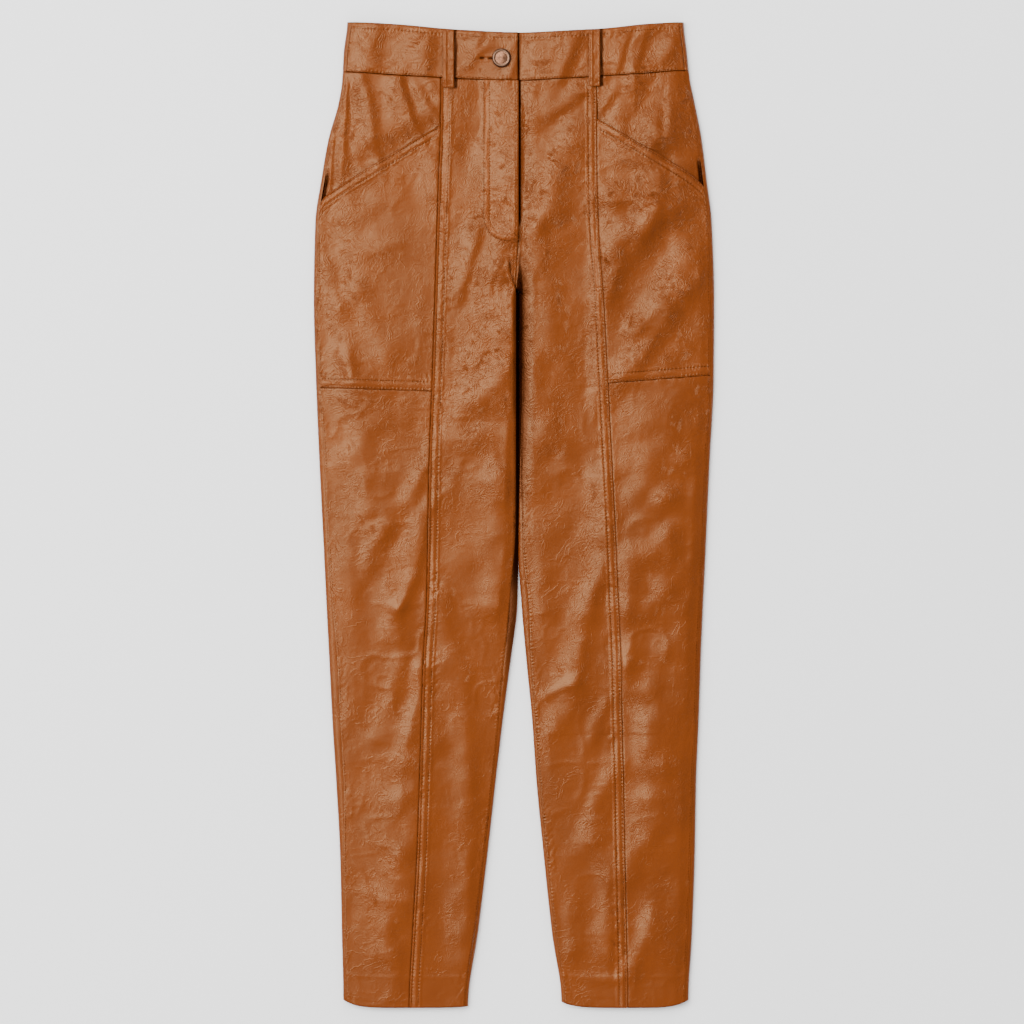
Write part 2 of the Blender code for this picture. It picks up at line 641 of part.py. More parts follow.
for side, sign in SIGN.items():
    back_panel(side)
    front_panel(
        f"front_centre_{side}", side, np.linspace(0, 1, 10),
        lambda share: long_levels(),
        centre_edges(side),
        fly_sink if side == "left" else None,
    )
    front_panel(
        f"front_side_{side}", side, np.linspace(0, 1, 11),
        lambda share: between(
            pocket_bottom(side, side_x(side, share, pocket_bottom)) + SEAM_GAP / 2,
            LENGTH, np.linspace(0, 1, 29)[None, :]),
        side_edges(side),
    )
    front_panel(
        f"pocket_{side}", side, np.linspace(0, 1, 11),
        lambda share: between(
            mouth_drop(side, side_x(side, share, mouth_drop)),
            pocket_bottom(side, side_x(side, share, pocket_bottom)) - SEAM_GAP / 2,
            np.linspace(0, 1, 12)[None, :]),
        side_edges(side),
    )
    front_panel(
        f"hip_facing_{side}", side, np.linspace(0, 1, 10),
        lambda share: between(
            BAND_DEPTH + SEAM_GAP / 2,
            mouth_drop(side, side_x(side, share, mouth_drop)) + MOUTH_UNDERLAP,
            np.linspace(0, 1, 11)[None, :]),
        side_edges(side),
        facing_sink(side),
    )
    belt_loop(f"belt_loop_front_{side}", FRONT_LOOPS[side], side, True)

overlap = band_front("waistband_front_right", "right", BAND_EDGE, lambda x: 0.0)
cut_buttonhole(overlap)
band_front("waistband_front_left", "left", BAND_UNDERLAP_END, band_sink)
band_back()
for place_name, middle in BACK_LOOPS.items():
    belt_loop(f"belt_loop_back_{place_name}", middle, "right", False)
fly_zip()
button()
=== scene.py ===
"""The looks of a pair of ankle-length faux leather trousers, laid flat on their back with the front up.

Sizes are in millimetres, turned to metres where a mesh is made. x runs across from the middle, and drop
runs down from the waist's side corners. Left and right are the wearer's, so the right leg lies at -X.
"""

import math
from collections import namedtuple

import bpy
import numpy as np
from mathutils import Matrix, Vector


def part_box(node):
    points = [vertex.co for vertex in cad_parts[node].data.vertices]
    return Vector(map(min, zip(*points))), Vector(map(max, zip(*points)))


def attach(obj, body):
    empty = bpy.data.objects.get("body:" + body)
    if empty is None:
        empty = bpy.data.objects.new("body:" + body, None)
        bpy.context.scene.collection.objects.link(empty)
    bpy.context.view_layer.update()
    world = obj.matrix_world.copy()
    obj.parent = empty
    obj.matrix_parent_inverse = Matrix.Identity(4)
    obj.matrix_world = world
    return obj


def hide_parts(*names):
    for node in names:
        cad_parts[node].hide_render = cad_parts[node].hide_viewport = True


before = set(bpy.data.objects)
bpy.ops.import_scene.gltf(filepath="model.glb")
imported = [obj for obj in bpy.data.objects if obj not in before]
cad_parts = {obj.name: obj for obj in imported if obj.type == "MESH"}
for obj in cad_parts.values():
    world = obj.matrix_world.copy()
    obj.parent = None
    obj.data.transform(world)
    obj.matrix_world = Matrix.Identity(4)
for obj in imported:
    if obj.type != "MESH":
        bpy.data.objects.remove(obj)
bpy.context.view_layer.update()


# ---- Camera, floor and light -------------------------------------------------------------------------
# The camera hangs square over the trousers on a long lens, so that a millimetre covers one pixel of a
# 1024 pixel picture. The floor is a plain pale table. Two large soft boxes stand over the waist's right,
# and four weaker ones fill from the sides.

MM = 0.001
PICTURE_WIDTH = 1024 * MM
LENS = 170.0
SENSOR = 36.0
CLOTH_LEVEL = 8 * MM

camera = bpy.data.objects.new("camera", bpy.data.cameras.new("camera"))
camera.data.lens = LENS
camera.data.sensor_width = SENSOR
camera.location = (-2 * MM, 3 * MM, PICTURE_WIDTH * LENS / SENSOR + CLOTH_LEVEL)
bpy.context.scene.collection.objects.link(camera)
bpy.context.scene.camera = camera


def soft_box(name, place, size, watts, glare=True):
    """A square area light that faces the middle of the trousers. Without glare it lights the cloth but
    isn't mirrored in it."""
    light = bpy.data.lights.new(name, "AREA")
    light.size = size
    light.energy = watts
    lamp = bpy.data.objects.new(name, light)
    lamp.location = place
    lamp.rotation_euler = (-lamp.location).to_track_quat("-Z", "Y").to_euler()
    lamp.visible_glossy = glare
    bpy.context.scene.collection.objects.link(lamp)


soft_box("key", (-1.75, 1.15, 3.4), 2.7, 160)
soft_box("key spread", (-2.1, 1.4, 4.1), 5.2, 170)
soft_box("left fill", (-2.2, 0.0, 1.3), 1.4, 34, glare=False)
soft_box("top fill", (0.3, 2.3, 1.3), 1.4, 46, glare=False)
soft_box("right fill", (2.3, -0.2, 1.3), 1.4, 14, glare=False)
soft_box("foot fill", (0.1, -2.3, 1.3), 1.4, 36, glare=False)

world = bpy.data.worlds.new("studio")
world.use_nodes = True
sky = world.node_tree.nodes["Background"].inputs
sky["Color"].default_value = (1, 1, 1, 1)
sky["Strength"].default_value = 0.35
bpy.context.scene.world = world

FLOOR = 6.0
floor_mesh = bpy.data.meshes.new("floor")
floor_mesh.from_pydata(
    [(-FLOOR, -FLOOR, 0), (FLOOR, -FLOOR, 0), (FLOOR, FLOOR, 0), (-FLOOR, FLOOR, 0)], [], [(0, 1, 2, 3)])
floor = bpy.data.objects.new("floor", floor_mesh)
bpy.context.scene.collection.objects.link(floor)
table_top = bpy.data.materials.new("pale table")
table_top.use_nodes = True
paint = table_top.node_tree.nodes["Principled BSDF"].inputs
paint["Base Color"].default_value = (0.97, 0.97, 0.97, 1)
paint["Roughness"].default_value = 0.9
floor_mesh.materials.append(table_top)


# ---- Backs ------------------------------------------------------------------------------------------
# Each back is one panel from the waist seam to the hem. It lies on the table, turns up round the side
# fold and, on a leg, round the inner fold, and meets the fronts a few millimetres in from the edge. It
# is knit-backed faux leather, and its seams are sewn from inside and stitched down beside the edge.

LENGTH = 986.0
WALL = 1.6
SEAM_GAP = 0.3  # between the walls of two sewn pieces
SEAM_OPEN = 0.12  # between their skins, where a seam shows
EDGE_MID = 3.4  # z where a back turns over into a front
FOLD_REACH = 6.0  # how far in from a folded edge the front's curve runs, and then the back's
FOLD_REACH_UNDER = 4.5
SIDE_THICK = 6.9  # z of the front beside the side fold
CROWN = 0.7  # how far a panel's middle stands above its edges
CROTCH = 266.0
FORK = 8.0  # the run over which the fronts part into legs
BACK_SEAM = 4.3  # x of the centre back seam
BAND_DEPTH = 50.0
SIGN = {"right": -1.0, "left": 1.0}

# One row for each level of a leg: the outline, the panel seam, how far the back wraps onto the front at
# the outseam and the inseam, and the thickness at the inner edge or the fly.
Girth = namedtuple("Girth", "drop outer inner seam out_wrap in_wrap thick")
LEGS = {
    "right": [
        Girth(0, 167.0, 4.29, 73.0, 4.0, 2.1, 9.4),
        Girth(30, 170.5, 4.29, 73.0, 4.0, 2.1, 9.4),
        Girth(58, 172.0, 4.29, 73.0, 3.6, 2.1, 9.4),
        Girth(80, 175.5, 4.29, 73.2, 3.5, 2.1, 9.4),
        Girth(118, 186.0, 4.29, 73.8, 3.5, 2.1, 9.4),
        Girth(158, 193.0, 4.29, 75.3, 3.5, 2.1, 9.4),
        Girth(200, 199.0, 4.29, 76.8, 3.5, 2.1, 9.2),
        Girth(278, 200.5, 4.29, 79.2, 3.5, 2.1, 9.2),
        Girth(358, 198.3, 4.29, 81.8, 3.8, 2.1, 8.6),
        Girth(438, 195.0, 4.29, 84.8, 5.5, 2.2, 7.6),
        Girth(528, 190.5, 4.29, 86.4, 5.0, 4.2, 7.0),
        Girth(580, 188.0, 3.6, 87.5, 5.8, 7.6, 6.9),
        Girth(638, 185.0, -3.2, 90.8, 8.0, 6.6, 6.9),
        Girth(698, 182.0, -11.0, 92.6, 8.0, 4.2, 6.9),
        Girth(758, 178.2, -18.0, 94.4, 7.5, 3.2, 6.9),
        Girth(838, 174.0, -27.0, 97.2, 3.6, 3.2, 6.9),
        Girth(908, 172.5, -35.5, 101.2, 3.2, 3.2, 6.9),
        Girth(986, 171.0, -45.8, 104.8, 3.2, 3.2, 6.9),
    ],
    "left": [
        Girth(0, 170.0, 4.31, 83.0, 4.0, 5.1, 9.4),
        Girth(30, 173.0, 4.31, 83.0, 4.0, 5.1, 9.4),
        Girth(58, 176.0, 4.31, 83.0, 4.0, 5.1, 9.4),
        Girth(80, 180.5, 4.31, 83.0, 4.0, 5.1, 9.4),
        Girth(118, 188.0, 4.31, 83.2, 4.0, 5.1, 9.4),
        Girth(158, 193.0, 4.31, 83.6, 4.0, 5.1, 9.4),
        Girth(200, 198.0, 4.31, 84.8, 4.0, 5.1, 9.2),
        Girth(278, 200.5, 4.31, 90.0, 4.0, 5.1, 9.2),
        Girth(358, 200.0, 4.31, 94.2, 4.0, 5.0, 8.6),
        Girth(438, 196.0, 4.31, 98.3, 3.4, 2.9, 7.6),
        Girth(528, 192.0, 4.31, 102.7, 3.2, 4.6, 7.0),
        Girth(580, 189.5, 7.2, 104.8, 3.2, 7.4, 6.9),
        Girth(638, 187.0, 12.2, 107.4, 3.2, 4.6, 6.9),
        Girth(698, 185.0, 18.0, 108.5, 3.2, 3.2, 6.9),
        Girth(758, 182.5, 22.2, 110.0, 3.4, 3.2, 6.9),
        Girth(838, 181.0, 30.0, 111.4, 4.4, 3.2, 6.9),
        Girth(908, 178.5, 37.5, 112.9, 4.6, 3.2, 6.9),
        Girth(986, 174.8, 47.3, 114.2, 3.2, 3.2, 6.9),
    ],
}

# The waistband's two edges, as drops across the front.
Waist = namedtuple("Waist", "x top bottom")
WAIST = [
    Waist(-167, 0.0, 50.0),
    Waist(-119, 2.0, 53.0),
    Waist(-76, 6.0, 55.3),
    Waist(-50, 8.0, 56.8),
    Waist(5, 10.5, 58.5),
    Waist(65, 8.0, 55.6),
    Waist(95, 6.0, 53.8),
    Waist(132, 2.0, 51.4),
    Waist(170, 0.0, 48.5),
]
WAIST_FADE = 120.0  # the run over which the waist seam's dip fades out below it

# Creases, pressed folds and soft ridges of the front. Each is a crest line of (x, drop) points, its half
# widths on the right hand and the left hand of one who walks the line, and its height, which is below 0
# for a trough.
Fold = namedtuple("Fold", "path near far height")
FOLDS = [
    # Waistband.
    Fold([(-138, 9), (-142, 39)], 13, 8, 2.3),
    Fold([(-149, 37), (-152, 49)], 7, 6, 1.3),
    Fold([(-87, 11), (-90, 41)], 13, 8, 2.2),
    Fold([(-110, 39), (-114, 50)], 5, 5, 0.9),
    Fold([(-25, 12), (-35, 23), (-46, 34)], 2.4, 6, 1),
    Fold([(-33, 5), (-40, 22)], 9, 5, 1.4),
    Fold([(-1, 34), (-6, 46)], 5, 4, 1.2),
    Fold([(3, 6), (-2, 18)], 4, 4, 0.9),
    Fold([(60, 8), (55, 22), (46, 39)], 24, 9, 2.9),
    Fold([(112, 14), (105, 41)], 12, 5, 2.6),
    Fold([(131, 12), (123, 43)], 11, 5, 2.6),
    Fold([(161, 22), (141, 46)], 11, 8, 2.6),
    # Right hip, above the pocket.
    Fold([(-165, 78), (-163, 118), (-162, 152)], 5, 4, -1.4),
    Fold([(-153, 58), (-145, 93), (-136, 140)], 9, 6, 2.1),
    Fold([(-116, 57), (-105, 88), (-94, 114)], 14, 5, 2.3),
    Fold([(-99, 60), (-86, 81), (-74, 98)], 6, 5, 1.3),
    Fold([(-82, 60), (-74, 74)], 5, 5, 0.8),
    # Left hip, above the pocket.
    Fold([(126, 56), (115, 82), (103, 108)], 13, 9, 3),
    Fold([(148, 60), (144, 88), (140, 120)], 14, 6, 1.8),
    Fold([(157, 68), (155, 112)], 5, 12, 1.3),
    Fold([(158, 56), (160, 108), (165, 158)], 9, 15, 3.3),
    Fold([(103, 62), (92, 76), (86, 86)], 6, 5, 1.2),
    # Right pocket.
    Fold([(-163, 162), (-161, 204), (-161, 264), (-162, 340)], 14, 64, 2.4),
    Fold([(-80, 130), (-79, 170)], 12, 5, 1.2),
    Fold([(-187, 248), (-177, 298), (-166, 352)], 7, 9, 2),
    Fold([(-158, 266), (-142, 303), (-124, 340)], 9, 11, 1.3),
    Fold([(-116, 222), (-140, 228)], 6, 6, 0.6),
    Fold([(-93, 263), (-95, 323)], 12, 8, 0.4),
    Fold([(-142, 184), (-134, 218)], 8, 16, 0.4),
    # Left pocket.
    Fold([(109, 114), (107, 144), (104, 168)], 18, 44, 2.9),
    Fold([(147, 118), (144, 168), (140, 186)], 28, 10, 5.2),
    Fold([(148, 174), (122, 175), (96, 177)], 12, 5, 1.1),
    Fold([(158, 186), (128, 211), (108, 231), (99, 254), (93, 280)], 26, 13, 4.8),
    Fold([(176, 240), (150, 274), (126, 308)], 12, 7, 1.6),
    Fold([(183, 255), (166, 278), (146, 306), (125, 334), (110, 352)], 25, 12, 4.4),
    Fold([(160, 168), (164, 228), (176, 278)], 16, 20, 1.6),
    # Right centre front.
    Fold([(-64, 62), (-64, 108), (-67, 198)], 4, 22, 1.7),
    Fold([(-36, 58), (-34, 96), (-42, 128)], 20, 6, -2.3),
    Fold([(-33, 188), (-39, 218), (-49, 254), (-57, 276)], 18, 6, 2),
    Fold([(5, 82), (4, 138), (2, 184)], 26, 5, 2.3),
    Fold([(-1, 218), (-3, 278), (-4, 328), (-6, 373)], 34, 9, 5),
    Fold([(-28, 350), (-44, 383), (-64, 418)], 22, 40, 2.4),
    Fold([(-9, 466), (-12, 538), (-17, 582)], 34, 8, 3),
    Fold([(-7, 408), (-10, 466)], 24, 8, 2.2),
    Fold([(-40, 408), (-44, 458)], 16, 14, 0.9),
    Fold([(-72, 576), (-62, 628), (-48, 708), (-46, 778), (-49, 858), (-50, 938)], 15, 11, 2.3),
    Fold([(-59, 448), (-68, 478)], 10, 8, 0.9),
    # Left centre front.
    Fold([(60, 112), (48, 144), (34, 192), (25, 208)], 13, 15, 2.8),
    Fold([(76, 58), (57, 70), (40, 86)], 10, 7, 1.8),
    Fold([(36, 64), (24, 90)], 8, 8, 0.8),
    Fold([(17, 62), (16, 96)], 9, 8, 1.2),
    Fold([(34, 128), (28, 168), (26, 204)], 16, 14, 1),
    Fold([(27, 214), (28, 278), (26, 378), (22, 448)], 22, 36, 2.8),
    Fold([(76, 228), (74, 298), (71, 348), (69, 380)], 26, 8, -1.6),
    Fold([(90, 456), (91, 508), (85, 552), (71, 600), (64, 638), (60, 662)], 15, 9, 2.6),
    Fold([(27, 508), (26, 558), (27, 590)], 8, 14, 1.3),
    Fold([(61, 660), (31, 675)], 5, 5, 0.9),
    Fold([(64, 678), (48, 694), (38, 710)], 14, 12, 1.4),
    Fold([(92, 682), (78, 716)], 8, 7, 1.1),
    Fold([(39, 694), (38, 736)], 7, 12, 0.9),
    Fold([(99, 742), (86, 778), (74, 818)], 11, 13, 1.9),
    Fold([(88, 820), (99, 868), (94, 928)], 13, 14, 2.3),
    Fold([(59, 878), (56, 928)], 9, 10, 0.8),
    # The whiskers that fan from the crotch.
    Fold([(-2, 235), (-14, 240), (-21, 256), (-23, 272)], 3, 4.6, 1.25),
    Fold([(-3, 240), (-11, 250), (-14, 264)], 2.8, 4, 1.1),
    Fold([(-5.5, 242), (-5.5, 252), (-3, 262), (1, 269)], 2.4, 1.8, 1.15),
    Fold([(10, 240), (18, 254), (20, 278)], 3.2, 3.2, 0.6),
    # Right leg, below the pocket.
    Fold([(-152, 368), (-152, 428), (-142, 484)], 19, 44, 2.8),
    Fold([(-90, 448), (-101, 476)], 8, 7, 1.3),
    Fold([(-106, 476), (-130, 508), (-145, 544)], 9, 8, 1.7),
    Fold([(-87, 489), (-99, 538), (-103, 560), (-116, 584)], 17, 8, 3),
    Fold([(-112, 584), (-118, 616)], 15, 9, 1.8),
    Fold([(-109, 626), (-119, 658), (-126, 682), (-135, 716)], 10, 9, 1.3),
    Fold([(-94, 650), (-98, 690), (-106, 720)], 7, 12, 1.9),
    Fold([(-100, 720), (-108, 778), (-111, 840), (-116, 890)], 28, 28, 3.4),
    Fold([(-115, 883), (-125, 933)], 18, 12, 1.9),
    Fold([(-118, 940), (-120, 974)], 12, 10, 1.4),
    Fold([(-164, 538), (-158, 618), (-162, 698)], 12, 14, 0.8),
    # Left leg, below the pocket.
    Fold([(146, 364), (140, 418), (129, 480), (122, 544)], 40, 54, 4.9),
    Fold([(114, 568), (114, 642)], 9, 9, 1.5),
    Fold([(132, 600), (120, 628), (108, 654)], 10, 12, 0.8),
    Fold([(138, 678), (136, 738), (142, 788), (136, 816), (117, 848)], 20, 18, 2.4),
    Fold([(140, 900), (130, 922), (118, 946)], 12, 17, 2.6),
    Fold([(102, 958), (74, 958)], 6, 5, 1.2),
    Fold([(174, 448), (170, 538), (166, 618), (162, 738)], 44, 20, 2.8),
    Fold([(162, 758), (160, 878), (158, 968)], 34, 16, 2),
]

# The line of a tuck that runs down beside the fly's end to the point where the legs part. It is only
# painted, as shade.
PAINTED_TUCK_SHADE = Fold([(-4.5, 240), (-3.4, 250), (-1, 259), (2, 266)], 0.9, 0.9, 1)

# How far the hem's corners rise, and over what run above it.
HEM_OUTER_RISE = 8.0
HEM_INNER_RISE = {"right": 1.5, "left": 6.0}
HEM_FADE = 60.0


def through(rows, column, at):
    """A smooth curve through a table's column against its first one: monotone cubic, flat past the ends."""
    xs = np.array([row[0] for row in rows], float)
    ys = np.array([getattr(row, column) for row in rows], float)
    step = np.diff(xs)
    slope = np.diff(ys) / step
    before, after = slope[:-1], slope[1:]
    turning = before * after <= 0
    tangent = np.zeros(len(xs))
    tangent[1:-1] = np.where(turning, 0, 2 * before * after / np.where(turning, 1, before + after))
    at = np.clip(at, xs[0], xs[-1])
    i = np.clip(np.searchsorted(xs, at) - 1, 0, len(step) - 1)
    t = (at - xs[i]) / step[i]
    ends = ys[i] * (1 + 2 * t) * (1 - t) ** 2 + ys[i + 1] * t**2 * (3 - 2 * t)
    return ends + step[i] * (tangent[i] * t * (1 - t) ** 2 - tangent[i + 1] * t**2 * (1 - t))


def smooth(t):
    """0 below 0, 1 above 1, and an S curve between."""
    t = np.clip(t, 0, 1)
    return t * t * (3 - 2 * t)


def fade(t):
    """1 below 0, 0 above 1, and an S curve between."""
    return 1 - smooth(t)


def bulge(distance, reach):
    """A quarter ellipse: 0 at a folded edge, and 1 from reach inwards."""
    return np.sqrt(1 - (1 - np.clip(distance / reach, 0, 1)) ** 2)


def bell(distance, width):
    """exp of minus the squared distance in widths: 1 in the middle, and almost 0 two widths away."""
    return np.exp(-((distance / width) ** 2))


def between(first, last, share):
    return first + (last - first) * share


def ripple(x, y, size, seed):
    """Smooth noise from -1 to 1: random heights on a lattice of that size, joined by S curves."""
    heights = np.random.default_rng(seed).uniform(-1, 1, (257, 257))
    u, v = np.broadcast_arrays(np.asarray(x) / size + 64, np.asarray(y) / size + 64)
    i, j = np.floor(u).astype(int), np.floor(v).astype(int)
    s, t = smooth(u - i), smooth(v - j)
    i, j = i % 256, j % 256
    low = between(heights[i, j], heights[i + 1, j], s)
    high = between(heights[i, j + 1], heights[i + 1, j + 1], s)
    return between(low, high, t)


def leg(side, column, drop):
    return through(LEGS[side], column, drop)


def outer_edge(side, drop):
    return SIGN[side] * leg(side, "outer", drop)


def side_seam(side, drop):
    return outer_edge(side, drop) - SIGN[side] * leg(side, "out_wrap", drop)


def panel_seam(side, drop):
    return SIGN[side] * leg(side, "seam", drop)


def parted(drop):
    """0 where the two fronts are joined, 1 where the legs are apart."""
    return smooth((drop - CROTCH) / FORK)


def valley(drop):
    """1 where both inner folds roll into one wide valley below the crotch, fading down the thighs."""
    return smooth((drop - CROTCH) / 14) * fade((drop - 430) / 130)


def distances(side, x, drop):
    """From the outer and the inner folded edge, inwards."""
    sign = SIGN[side]
    return sign * (outer_edge(side, drop) - x), sign * (x - leg(side, "inner", drop))


def pinched(x, y, size, seed):
    """Noise with sharp crests, as leather keeps where it was folded: 1 on a crest, about -0.5 between."""
    patches = smooth(0.6 + 0.9 * ripple(x, y, 2.3 * size, seed + 60))
    return (np.clip(1 - 2.4 * np.abs(ripple(x, y, size, seed)), 0, 1) ** 1.5 - 0.25) * patches


def crest_bell(fold, x, drop):
    """A bell across the fold's crest line, as wide as near on one side and far on the other. Past either
    end the crest runs straight on and its height tapers off."""
    nearest, across, past = np.full(x.shape, np.inf), np.zeros(x.shape), np.zeros(x.shape)
    last = len(fold.path) - 2
    for part, ((x0, drop0), (x1, drop1)) in enumerate(zip(fold.path, fold.path[1:])):
        long = math.hypot(x1 - x0, drop1 - drop0)
        way_x, way_drop = (x1 - x0) / long, (drop1 - drop0) / long
        along = (x - x0) * way_x + (drop - drop0) * way_drop
        off = (x - x0) * way_drop - (drop - drop0) * way_x
        beyond = along - np.clip(along, 0, long)
        reach = np.hypot(off, beyond)
        outside = ((along < 0) & (part == 0)) | ((along > long) & (part == last))
        closer = reach < nearest
        nearest = np.where(closer, reach, nearest)
        across = np.where(closer, np.where(outside, off, np.copysign(reach, off)), across)
        past = np.where(closer, np.where(outside, beyond, 0), past)
    width = np.where(across < 0, fold.near, fold.far)
    return bell(across, width) / (1 + (past / (0.8 * (fold.near + fold.far) / 2 + 2)) ** 2)


# Spots where the cloth lies flatter: the right pocket's middle, and the left leg below its pocket. share
# is how much of the unevenness each one takes away.
Calm = namedtuple("Calm", "x drop width height share")
CALM_SPOTS = [Calm(-112, 248, 46, 80, 0.7), Calm(128, 430, 44, 95, 0.6)]
WANDER = 2.4  # how far a crease strays from its line
DEEPEST = -2.6  # how far a trough may go down


def drape(x, drop):
    """The folds of the table, over a soft unevenness that is weak in the calm spots and on the lower legs.
    Broad folds stray from their crest lines more than fine ones."""
    x, drop = (flat.astype(float) for flat in np.broadcast_arrays(x, drop))
    aside, down = WANDER * ripple(x, drop, 24, 11), WANDER * ripple(x, drop, 24, 12)
    lift = 0.55 * ripple(x, drop, 34, 14) + 0.24 * ripple(x, drop, 15, 15)
    for height, size, seed in ((0.45, 27, 16), (0.20, 12, 17)):
        lift = lift + height * pinched(x + aside, drop + down, size, seed)
    calm = 1.0
    for spot in CALM_SPOTS:
        off_x, off_drop = (x - spot.x) / spot.width, (drop - spot.drop) / spot.height
        calm = calm * (1 - spot.share * np.exp(-(off_x**2) - off_drop**2))
    uneven = 0.85 + 0.35 * calm * ripple(x, drop, 19, 13)
    lift = lift * calm * (1 - 0.3 * smooth((drop - 560) / 200))
    for fold in FOLDS:
        spots = np.array(fold.path)
        margin = 3 * max(fold.near, fold.far) + 6
        (low_x, low_drop), (high_x, high_drop) = spots.min(0) - margin, spots.max(0) + margin
        touched = (x > low_x) & (x < high_x) & (drop > low_drop) & (drop < high_drop)
        if touched.any():
            stray = min(1.0, (fold.near + fold.far) / 16)
            crest = crest_bell(fold, (x + stray * aside)[touched], (drop + stray * down)[touched])
            lift[touched] += fold.height * crest * uneven[touched]
    return lift


def crinkle(x, drop):
    """The embossed grain's larger waves: short curved ridges in every direction."""
    warp_x = x + 3.5 * ripple(x, drop, 11, 21)
    warp_drop = drop + 3.5 * ripple(x, drop, 11, 22)
    ridges = 1 - np.abs(ripple(warp_x, warp_drop, 6.5, 23)) * 2.6
    patches = 0.25 + 0.75 * smooth(ripple(x, drop, 24, 24) * 1.2 + 0.5)
    return 0.09 * np.clip(ridges, 0, 1) * patches + 0.03 * ripple(x, drop, 5.5, 25)


# How much wider the inner fold rolls in the valley, and how far in from each fold the creases fade.
INNER_ROLL = {"right": 0.0, "left": 5.0}
INNER_FADE = {"right": 6.0, "left": 16.0}
OUTER_FADE = 16.0


def front_height(side, x, drop, inset=0.0, proud=0.0):
    """z of the front's outer skin, or of the skin that lies inset inside it: quarter ellipses at the folded
    edges, a thickness that grows towards the fly, a low crown, and the creases."""
    from_outer, from_inner = distances(side, x, drop)
    share = from_outer / (from_outer + from_inner)
    grown = smooth((share - 0.45) / 0.55) if side == "right" else smooth(share / 0.6)
    thick = SIDE_THICK + (leg(side, "thick", drop) - SIDE_THICK) * grown + proud
    apart = parted(drop)
    shape = bulge(from_outer - inset, FOLD_REACH - inset)
    reach = FOLD_REACH + INNER_ROLL[side] * valley(drop)
    shape = shape * (1 - apart * (1 - bulge(from_inner - inset, reach - inset)))
    edges = smooth(from_outer / OUTER_FADE) * (1 - apart * fade(from_inner / INNER_FADE[side]))
    share = np.clip(share, 0, 1)
    split = smooth((drop - CROTCH + 70) / 190)
    crown = CROWN * (1 - between((1 - share) ** 2, (2 * share - 1) ** 2, split))
    lift = np.maximum(drape(x, drop), DEEPEST) + crown
    return EDGE_MID + (thick - EDGE_MID - inset) * shape + lift * edges


# The back lies on three of the belt loops, which hold it a little off the table.
LOOP_WIDTH = 11.6
LOOP_WALL = 1.6
LOOP_TAIL = 9.8  # how far a loop reaches below the waist seam
LOOP_CLEAR = 1.2
LOOP_LIFT_RUN = 9.0
LOOP_LIFT_END = 20.0
BACK_LOOPS = {"right": -92.0, "centre": 0.0, "left": 92.0}


def loop_lift(x, drop):
    """How far the back is held off the table by the belt loops that it lies on."""
    tail = BAND_DEPTH + LOOP_TAIL + LOOP_CLEAR
    beside = [(np.abs(x - at) - LOOP_WIDTH / 2 - LOOP_CLEAR) / LOOP_LIFT_RUN for at in BACK_LOOPS.values()]
    lifted = fade(np.min(beside, axis=0))
    return (LOOP_WALL + SEAM_GAP) * lifted * fade((drop - tail) / LOOP_LIFT_END)


def back_height(side, x, drop, inset=0.0):
    """z of the back's skin on the table, or of the skin inset above it. A few shallow creases lift it."""
    from_outer, from_inner = distances(side, x, drop)
    shape = bulge(from_outer - inset, FOLD_REACH_UNDER - inset)
    shape = shape * (1 - parted(drop) * (1 - bulge(from_inner - inset, FOLD_REACH_UNDER - inset)))
    inside = smooth(from_outer / 20 - 0.5) * smooth(from_inner / 20 - 0.5)
    crease = 0.8 * np.clip(ripple(x + 0.5 * drop, drop - 0.4 * x, 34, 31) - 0.25, 0, 1) * inside
    return EDGE_MID - (EDGE_MID - inset) * shape + loop_lift(x, drop) + crease


def place(side, x, drop, z):
    """World points in metres, with the waist seam's dip and the hem's curve laid over the straight cut."""
    x, drop, z = np.broadcast_arrays(x, drop, z)
    dip = through(WAIST, "bottom", x) - BAND_DEPTH
    from_outer, from_inner = distances(side, x, drop)
    across = np.clip(2 * from_outer / (from_outer + from_inner) - 1, -1, 1)
    rise = np.where(across < 0, HEM_OUTER_RISE, HEM_INNER_RISE[side]) * np.abs(across) ** 5
    hem = rise * smooth((drop - LENGTH + HEM_FADE) / HEM_FADE)
    down = drop + dip * fade((drop - BAND_DEPTH) / WAIST_FADE) - hem
    return np.stack([x, LENGTH / 2 - down, z], axis=-1) * MM


class Wire:
    """A shader socket whose arithmetic adds Math nodes."""

    def __init__(self, sheet, socket):
        self.sheet, self.socket = sheet, socket

    def math(self, operation, *others):
        return self.sheet.add("ShaderNodeMath", {"operation": operation}, [self, *others])["Value"]

    def __add__(self, other):
        return self.math("ADD", other)

    def __sub__(self, other):
        return self.math("SUBTRACT", other)

    def __rsub__(self, other):
        return self.sheet.add("ShaderNodeMath", {"operation": "SUBTRACT"}, [other, self])["Value"]

    def __mul__(self, other):
        return self.math("MULTIPLY", other)

    def __abs__(self):
        return self.math("ABSOLUTE")

    def ramp(self, low, high, kind="LINEAR"):
        """0 at low, 1 at high, straight or smooth between."""
        values = {"Value": self, "From Min": low, "From Max": high}
        settings = {"clamp": True, "interpolation_type": kind}
        return self.sheet.add("ShaderNodeMapRange", settings, values)["Result"]

    __radd__, __rmul__ = __add__, __mul__


